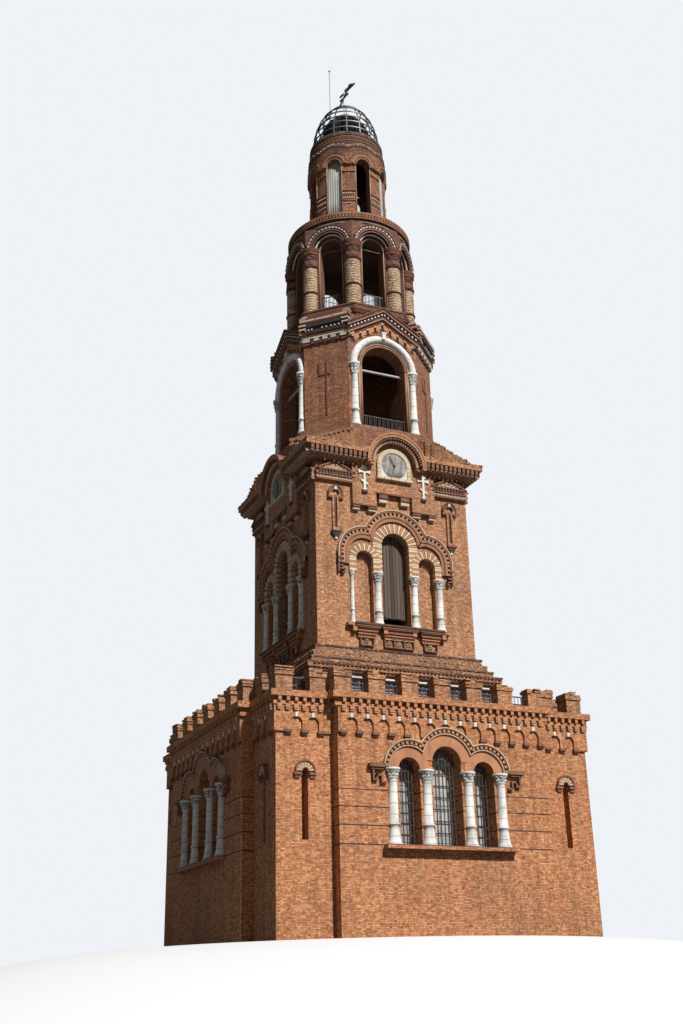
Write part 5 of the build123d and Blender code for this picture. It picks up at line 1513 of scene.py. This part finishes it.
def drum(radius):
    """(angle, up, out) on a round wall: ((R + out) sin a, -(R + out) cos a, up)."""
    def place(p):
        reach = radius + p[..., 2]
        return np.stack([reach * np.sin(p[..., 0]), -reach * np.cos(p[..., 0]), p[..., 1]], -1)
    return place


def belt(radius, count, share, up, out, angles=(0.0, 2 * np.pi)):
    """Blocks round a drum, each a share of its pitch wide."""
    edges = np.linspace(*angles, count + 1)
    width = (angles[1] - angles[0]) / count
    return blocks(drum(radius), (edges[:-1], edges[:-1] + width * share), up, out)


piece("arcade_cornice_dentils", rust_brick, "brick",
      belt(CORNICE_FACE, CORNICE_BRICKS, 0.55, (22.60, 22.685), (-0.02, 0.015)))
piece("arcade_cornice_shade", painted_shade_black, "brick",
      belt(CORNICE_FACE, CORNICE_BRICKS, 1.0, (22.595, 22.69), (-0.02, 0.006)),
      belt(HOLLOW_FACE, CORNICE_BRICKS, 1.0, (22.455, 22.53), (-0.02, 0.006)))
piece("arcade_cornice_edge", rust_brick, "brick",
      belt(CORNICE_FACE, CORNICE_BRICKS, 0.985, (22.70, 22.772), (-0.01, 0.02)),
      belt(CORNICE_FACE, CORNICE_BRICKS, 0.985, (22.54, 22.575), (-0.03, 0.008)))
piece("arcade_cornice_line", buff_brick, "brick",
      belt(HOLLOW_FACE, CORNICE_BRICKS, 0.93, (22.405, 22.44), (-0.03, 0.02)))
bracket_drum = drum(1.62)
piece("arcade_cornice_bracket", grille_iron, "iron", turned(
    slabs(bracket_drum, (-0.03, 0.05, CORNICE_TOP, CORNICE_TOP + 0.03, -0.16, 0.20),
          (-0.03, 0.0, CORNICE_TOP, CORNICE_TOP + 0.21, -0.16, 0.03)),
    rod(bracket_drum, (0.0, 22.95, 0.0), (0.02, 23.06, 0.26), 0.016), angles=(BRACKET_ANGLE,)))

# Lantern walls and head. A round brick drum with eight arched lights under a bulging head. The head draws in
# to the dome's iron rim and is black with soot and moss near the top.
LANTERN_SPRING = 25.30
LANTERN_DRUM = 1.305
HEAD_DRUM = 1.36
LIGHT_HALF = 0.252
lantern_wall = drum(LANTERN_DRUM)


def lantern_masonry():
    """Round brickwork whose soot grows towards the neck."""
    paint = Paint("lantern_brick")
    along, up, nz, point = round_run(1.35)(paint)
    solid, tone = bonded(paint, along, up)
    broad = paint.noise(point, 1.1, 4.0, 0.6)
    patch = paint.noise(point, 4.2, 4.0, 0.65)
    grain = paint.noise(point, 46.0, 3.0, 0.6)
    speck = paint.noise(point, 15.0, 3.0, 0.75)
    red = paint.ramp(tone * 0.55 + speck * 2.2 + patch * 0.5 + broad * 0.3 - 1.18, BELL_REDS)
    colour = paint.mix(solid, MORTAR, red)
    sooty = (up + patch * 0.9 + broad * 0.6).ease(26.2, 26.95)
    colour = paint.mix(sooty * 0.8, colour, (0.035, 0.02, 0.015, 1))
    colour = paint.mix((broad * 0.7 + patch * 0.5).ease(0.55, 0.8) * 0.5, colour, SOOT_AND_SHADE)
    colour = paint.mix(nz.ease(0.4, 0.85) * 0.8, colour, LICHEN)
    return paint.finish(colour, 0.93, paint.bump(solid * 0.8 + grain * 0.3, JOINT_DEPTH))


dress(lantern_masonry(), "lantern_wall_front", "lantern_wall_back", "lantern_head")


def bent_arch(radius, z):
    """(angle, r, out) round a centre on a drum's face: the arch's flat r sin a becomes an arc of the drum."""
    def place(p):
        turn = p[..., 1] * np.sin(p[..., 0]) / radius
        reach = radius + p[..., 2]
        return np.stack([reach * np.sin(turn), -reach * np.cos(turn), z + p[..., 1] * np.cos(p[..., 0])], -1)
    return place


# Lantern hoods. Fat rolls of rust-red brick over the lights, almost touching, with a thin buff line inside
# each, which runs on down the jambs.
hood_hub = bent_arch(HEAD_DRUM, LANTERN_SPRING)
piece("lantern_hoods", rust_brick, "brick",
      turned(roll(hood_hub, 0.395, 0.085, -1.5, 1.5, -0.05, 36), angles=OCTANT), smooth=True)
# The dark rings just outside and inside each roll are painted shade round it.
piece("lantern_hood_edges", dark_brick_and_shade, "brick", turned(
    ring(hood_hub, 0.485, 0.515, -1.42, 1.42, (-0.03, 0.04), 30),
    ring(hood_hub, 0.285, 0.312, -1.57, 1.57, (0.0, 0.01), 26), angles=OCTANT))
piece("lantern_lines", buff_brick, "brick", turned(
    roll(hood_hub, 0.272, 0.016, -1.57, 1.57, 0.0, 30),
    *[rod(lantern_wall, (a, 23.05, 0.01), (a, LANTERN_SPRING, 0.01), 0.015) for a in (-0.208, 0.208)],
    angles=OCTANT), smooth=True)

# Lantern piers. Two small slots under each hood's foot, painted dark as shade, a dark course, and rows of
# pale and brown blocks below it down to the cornice.
pier_turn = math.radians(22.5)
PIER_SPAN = (pier_turn - 0.165, pier_turn + 0.165)
slots = pier_turn + np.array([-0.05, 0.035])
piece("lantern_slots", dark_brick_and_shade, "brick", turned(
    blocks(lantern_wall, (slots, slots + 0.022), (24.78, 24.98), (-0.01, 0.006)),
    blocks(lantern_wall, PIER_SPAN, (24.20, 24.235), (-0.01, 0.045)),
    blocks(lantern_wall, PIER_SPAN, (23.79, 23.83), (-0.01, 0.04)),
    belt(LANTERN_DRUM, 5, 0.45, (23.98, 24.06), (-0.01, 0.012), PIER_SPAN), angles=OCTANT))
piece("lantern_pier_blocks", pale_brick, "pale_stone", turned(
    belt(LANTERN_DRUM, 5, 0.5, (24.08, 24.13), (-0.01, 0.035), PIER_SPAN),
    belt(LANTERN_DRUM, 6, 0.5, (23.90, 23.945), (-0.01, 0.035), PIER_SPAN),
    belt(LANTERN_DRUM, 5, 0.5, (23.70, 23.74), (-0.01, 0.03), PIER_SPAN), angles=OCTANT))
piece("lantern_pier_bands", rust_brick, "brick", turned(
    blocks(lantern_wall, PIER_SPAN, (24.235, 24.275), (-0.01, 0.035)),
    blocks(lantern_wall, PIER_SPAN, (25.02, 25.06), (-0.01, 0.05)),
    blocks(lantern_wall, PIER_SPAN, (23.83, 23.865), (-0.01, 0.03)), angles=OCTANT))
piece("lantern_base_belt", brown_brick, "brick",
      belt(LANTERN_DRUM, 64, 0.97, (CORNICE_TOP, 22.93), (-0.01, 0.05)),
      belt(LANTERN_DRUM, 64, 0.55, (22.93, 22.985), (-0.01, 0.03)))

# Scalloped line over the hoods. A course of moulded brick that rises over each light and dips between; its
# chalky top has mostly dropped off, and a dark hollow runs under it. Belts and teeth of brick ring the neck.
WAVE_FOOT = 26.03
WAVE_RISE = 0.11
WAVE_BRICKS = 144
HEAD_FOOT = 25.80
HEAD_TALL = 0.8
HEAD_MIDDLE = 1.331
NECK_DRUM = 1.262


def head_radius(z):
    """The head's outline as the parabola through its shoulder, middle and neck."""
    t = np.clip((z - HEAD_FOOT) / HEAD_TALL, 0, 1)
    return HEAD_DRUM * (1 - t) * (1 - 2 * t) + HEAD_MIDDLE * 4 * t * (1 - t) + NECK_DRUM * t * (2 * t - 1)


def on_wave(p):
    """(a, up, out) along z = 26.03 + 0.11 |cos 4a|, out from the head's own outline."""
    z = WAVE_FOOT + WAVE_RISE * np.abs(np.cos(4 * p[..., 0])) + p[..., 1]
    reach = head_radius(z) + p[..., 2]
    return np.stack([reach * np.sin(p[..., 0]), -reach * np.cos(p[..., 0]), z], -1)


wave_places = np.linspace(0, 2 * np.pi, WAVE_BRICKS + 1)[:-1]
wave_step = wave_places[1]
wave_luck = np.random.default_rng(12)
chalky = wave_luck.random(WAVE_BRICKS) < 0.55 + 0.35 * (np.abs(wave_places - 0.5) < 0.45)
wave_high = wave_luck.uniform(0.045, 0.075, WAVE_BRICKS)
wave_out = wave_luck.uniform(0.02, 0.045, WAVE_BRICKS)
chalk_places = wave_places[chalky]
piece("scallop_line", worn_white, "brick",
      blocks(on_wave, (chalk_places, chalk_places + wave_step * 0.95), (0.035, wave_high[chalky]),
             (-0.01, wave_out[chalky])))
piece("scallop_roll", brown_brick, "brick",
      blocks(on_wave, (wave_places, wave_places + wave_step), (-0.03, 0.035), (-0.01, wave_out * 0.6)))
piece("scallop_shade", painted_shade_black, "brick",
      blocks(on_wave, (wave_places, wave_places + wave_step), (-0.075, -0.03), (-0.01, 0.006)))
piece("neck_belts", rust_brick, "brick", belt(1.30, 96, 0.93, (26.33, 26.36), (-0.02, 0.03)),
      belt(NECK_DRUM, 96, 1.0, (26.55, 26.59), (-0.02, 0.02)))
piece("neck_teeth", rust_shade, "brick", belt(1.285, 60, 0.5, (26.42, 26.50), (-0.02, 0.03)))

# Lantern sheets. Corrugated iron closes every other light; it has gone a flat pale grey with faint runs. A
# torn piece and a rag of pale sheet are left in the open front light.
SHEET_OUT = 1.215
WAVES = 0.084
SHEET_STEPS = 61
SHEET_HALF = 0.0015
SHEET_FOOT = 23.045


def corrugated(x0, x1, top, foot, depth=0.006):
    """y = depth sin(2 pi x / pitch) from the foot up to a given top line, 3 mm thick, closed all round."""
    x = np.linspace(x0, x1, SHEET_STEPS)
    loop = np.concatenate([x, x[::-1]])
    side = np.repeat([1.0, -1.0], SHEET_STEPS)
    rise = np.concatenate([[0, 0], np.linspace(0, 1, 4)[1:-1], [1, 1]])[:, None]
    thick = np.array([0, 1, 1, 1, 1, 0])[:, None] * SHEET_HALF
    y = -SHEET_OUT - depth * np.sin(2 * np.pi * loop / WAVES) - side * thick
    z = foot + (top(loop) - foot) * rise
    return skin(np.stack(np.broadcast_arrays(loop, y, z), -1))


def round_top(x):
    """The round head of a light: spring + sqrt(half^2 - x^2)."""
    return LANTERN_SPRING + np.sqrt(np.maximum(LIGHT_HALF ** 2 - x ** 2, 0.0))


def sheet_paint():
    """Old galvanised sheet: pale grey, run with dark streaks that follow the ribs."""
    paint = Paint("old_sheet")
    along, up, _, point = round_run(1.2)(paint)
    run = paint.noise(paint.vector(along * 22.0, up * 1.1), 1.0, 5.0, 0.6)
    cloud = paint.noise(point, 4.0, 4.0, 0.6)
    colour = paint.mix((run * 0.9 + cloud * 0.4).ease(0.5, 1.0), (0.46, 0.46, 0.43, 1), (0.33, 0.32, 0.29, 1))
    colour = paint.mix((cloud + run * 0.3).ease(0.86, 0.98) * 0.4, colour, (0.20, 0.15, 0.11, 1))
    return paint.finish(colour, 0.6, paint.bump(run, 0.002), 0.1)


old_sheet = sheet_paint()
piece("corrugated_sheets", old_sheet, "sheet",
      turned(corrugated(-0.25, 0.25, round_top, SHEET_FOOT), angles=CORNERS),
      node="lantern_sheets", smooth=True)
piece("torn_sheet", old_sheet, "sheet",
      corrugated(-0.25, -0.115, lambda x: 23.80 - 1.5 * (x + 0.25), SHEET_FOOT),
      corrugated(-0.25, -0.15, lambda x: 24.12 - 1.2 * (x + 0.25), 23.98, 0.03), smooth=True)

# Iron rim of the dome. A ring of thick plate, rusted through its paint, that the ribs stand on.
iron_rust = painted("iron_rust", (0.16, 0.12, 0.095, 1), (0.10, 0.055, 0.04, 1), 0.6, 0.7, 0.1)
dress(iron_rust, "lantern_rim")
RIM_DRUM = 1.297
RIM_FOOT = 26.60
rim_rivets = np.linspace(0, 2 * np.pi, 73)[:-1]
piece("rim_studs", iron_rust, "iron",
      blocks(drum(RIM_DRUM), (rim_rivets, rim_rivets + 0.02), (26.66, 26.69), (-0.01, 0.01)))
piece("rim_shade", painted_shade_black, "iron", belt(RIM_DRUM, 96, 1.0, (RIM_FOOT, RIM_FOOT + 0.025), (-0.02, 0.004)))

# Bare dome. Riveted iron ribs and hoops that have lost their sheets. The old dark blue paint is painted light
# grey on the front, low down, as painted sunlight.


def rib_paint():
    """Dark blue-grey paint, painted light grey on the front and low down as painted sunlight, with rust
    patches.
    """
    paint = Paint("rib_paint")
    (_, y, z), point = paint.place()
    patch = paint.noise(point, 5.0, 4.0, 0.6)
    # Painted light: the front of the dome below 28.2 m, the side the sun falls on, is lifted to light grey.
    front = (0 - y + (patch - 0.5) * 0.7).ease(0.45, 0.85) * (1 - z.ease(27.9, 28.2))
    colour = paint.mix(front, (0.026, 0.042, 0.072, 1), (0.17, 0.17, 0.16, 1))
    rust = (patch + paint.noise(point, 40.0) * 0.3).ease(0.72, 0.85) * 0.6
    colour = paint.mix(rust, colour, (0.13, 0.07, 0.045, 1))
    return paint.finish(colour, 0.5, paint.bump(patch, 0.002), 0.3)


dress(rib_paint(), "iron_dome")

# Inner cap. A black boarded cap inside the ribs, which closes the lantern. It is tarred in sheets whose seams
# show as a dull grid.


def tar_paint():
    """Near-black tar with seams every 22.5 degrees round and every 0.24 m up."""
    paint = Paint("tarred_cap")
    (x, y, z), point = paint.place()
    turn = (paint.math("ARCTAN2", y, x) * (8 / math.pi)).part()
    rise = (z / 0.24).part()
    sheet = turn.least(1 - turn).ease(0.03, 0.09) * rise.least(1 - rise).ease(0.03, 0.1)
    patch = paint.noise(point, 6.0, 4.0, 0.6)
    colour = paint.mix(patch.ease(0.35, 0.75), (0.006, 0.006, 0.007, 1), (0.020, 0.019, 0.020, 1))
    colour = paint.mix(1 - sheet, colour, (0.034, 0.032, 0.031, 1))
    return paint.finish(colour, 0.95, paint.bump(sheet + patch * 0.3, 0.006), Specular_IOR_Level=0.15)


dress(tar_paint(), "inner_cap")

# Mast, fallen cross and aerial. A white painted timber mast; a dark iron cross that has dropped against it;
# a thin steel aerial with a small blue-green tip.
dress(painted("mast_paint", (0.80, 0.77, 0.72, 1), (0.42, 0.34, 0.27, 1), 0.15), "mast")
dress(painted("cross_iron", (0.055, 0.042, 0.036, 1), (0.18, 0.12, 0.09, 1), 0.3, 0.6, 0.4), "fallen_cross")


def aerial_paint():
    """Grey steel, with a blue-green tip."""
    paint = Paint("aerial_steel")
    (_, _, z), point = paint.place()
    spot = paint.noise(point, 20.0)
    colour = paint.mix(z.ease(30.0, 30.02), (0.16, 0.18, 0.20, 1), (0.03, 0.16, 0.18, 1))
    return paint.finish(paint.mix(spot.ease(0.6, 0.8) * 0.4, colour, (0.10, 0.07, 0.05, 1)), 0.5, None, 0.5)


dress(aerial_paint(), "aerial")

# Studio: a pale floor that falls away from the tower's foot, so that a low camera sees the walls
# down to the ground, a pale backdrop, a soft sun from the front right and an even, weak sky. The floor
# throws little light back, so that the shaded sides stay dark.
FLAT_RADIUS = 6.4
FALL_RADIUS = 24.0
FALL = 3.4
FLOOR_RADIUS = 400.0
FLOOR_TURNS = 96
FLOOR_COLOUR = (0.80, 0.80, 0.79, 1)
FLOOR_BOUNCE = (0.13, 0.13, 0.14, 1)
BACKDROP = (0.86, 0.89, 0.93, 1)
SUN_STRENGTH = 4.7
SUN_SIZE = math.radians(3)
SUN_AZIMUTH = math.radians(13)
SUN_HEIGHT = math.radians(41)
SKY_STRENGTH = 0.16
SKY_COLOUR = (0.88, 0.95, 1, 1)
CAMERA_PLACE = (-14.9226, -31.2839, -1.2522)
CAMERA_YAW = 0.4313
CAMERA_PITCH = 0.3886
CAMERA_ROLL = -0.0246
LENS = 41.842


def floor_mesh():
    """z falls from 0 by a smooth step of the radius, turned about the tower's axis."""
    rings = np.concatenate([np.linspace(0, FLAT_RADIUS, 4), np.linspace(FLAT_RADIUS, FALL_RADIUS, 24)[1:],
                            [FLOOR_RADIUS]])
    turns = np.linspace(0, 2 * np.pi, FLOOR_TURNS + 1)[:-1]
    share = np.clip((rings - FLAT_RADIUS) / (FALL_RADIUS - FLAT_RADIUS), 0, 1)
    z = -FALL * share * share * (3 - 2 * share)
    r, t = np.meshgrid(rings, turns, indexing="ij")
    points, faces = skin(np.stack([r * np.cos(t), r * np.sin(t), np.broadcast_to(z[:, None], r.shape)], -1))
    mesh = bpy.data.meshes.new("floor")
    mesh.from_pydata(points.tolist(), [], faces[:, ::-1].tolist())
    mesh.shade_smooth()
    return mesh


floor = bpy.data.objects.new("floor", floor_mesh())
ground = Paint("floor")
seen_directly = ground.node("ShaderNodeLightPath")
floor.data.materials.append(ground.finish(ground.mix(seen_directly, FLOOR_BOUNCE, FLOOR_COLOUR), 0.9))
bpy.context.scene.collection.objects.link(floor)

sky = Paint("studio", bpy.data.worlds)
from_camera = sky.node("ShaderNodeLightPath", output="Is Camera Ray")
through_glass = sky.node("ShaderNodeLightPath", output="Is Transmission Ray")
lit = sky.node("ShaderNodeBackground", None, {0: SKY_COLOUR, 1: SKY_STRENGTH})
seen = sky.node("ShaderNodeBackground", None, {0: BACKDROP, 1: 1.0})
shown = sky.math("MAXIMUM", from_camera, through_glass)
either = sky.node("ShaderNodeMixShader", None, {0: shown, 1: lit, 2: seen})
sky.node("ShaderNodeOutputWorld", None, {0: either})
bpy.context.scene.world = sky.material

lamp = bpy.data.objects.new("sun", bpy.data.lights.new("sun", "SUN"))
lamp.data.energy = SUN_STRENGTH
lamp.data.angle = SUN_SIZE
lamp.rotation_euler = (math.pi / 2 - SUN_HEIGHT, 0, SUN_AZIMUTH)
bpy.context.scene.collection.objects.link(lamp)

camera = bpy.data.objects.new("camera", bpy.data.cameras.new("camera"))
camera.data.lens = LENS
camera.data.clip_end = 500
turn = (Matrix.Rotation(-CAMERA_YAW, 4, "Z") @ Matrix.Rotation(math.pi / 2 + CAMERA_PITCH, 4, "X")
        @ Matrix.Rotation(CAMERA_ROLL, 4, "Z"))
camera.matrix_world = Matrix.Translation(CAMERA_PLACE) @ turn
bpy.context.scene.collection.objects.link(camera)
bpy.context.scene.camera = camera
bpy.context.scene.view_settings.view_transform = "Standard"
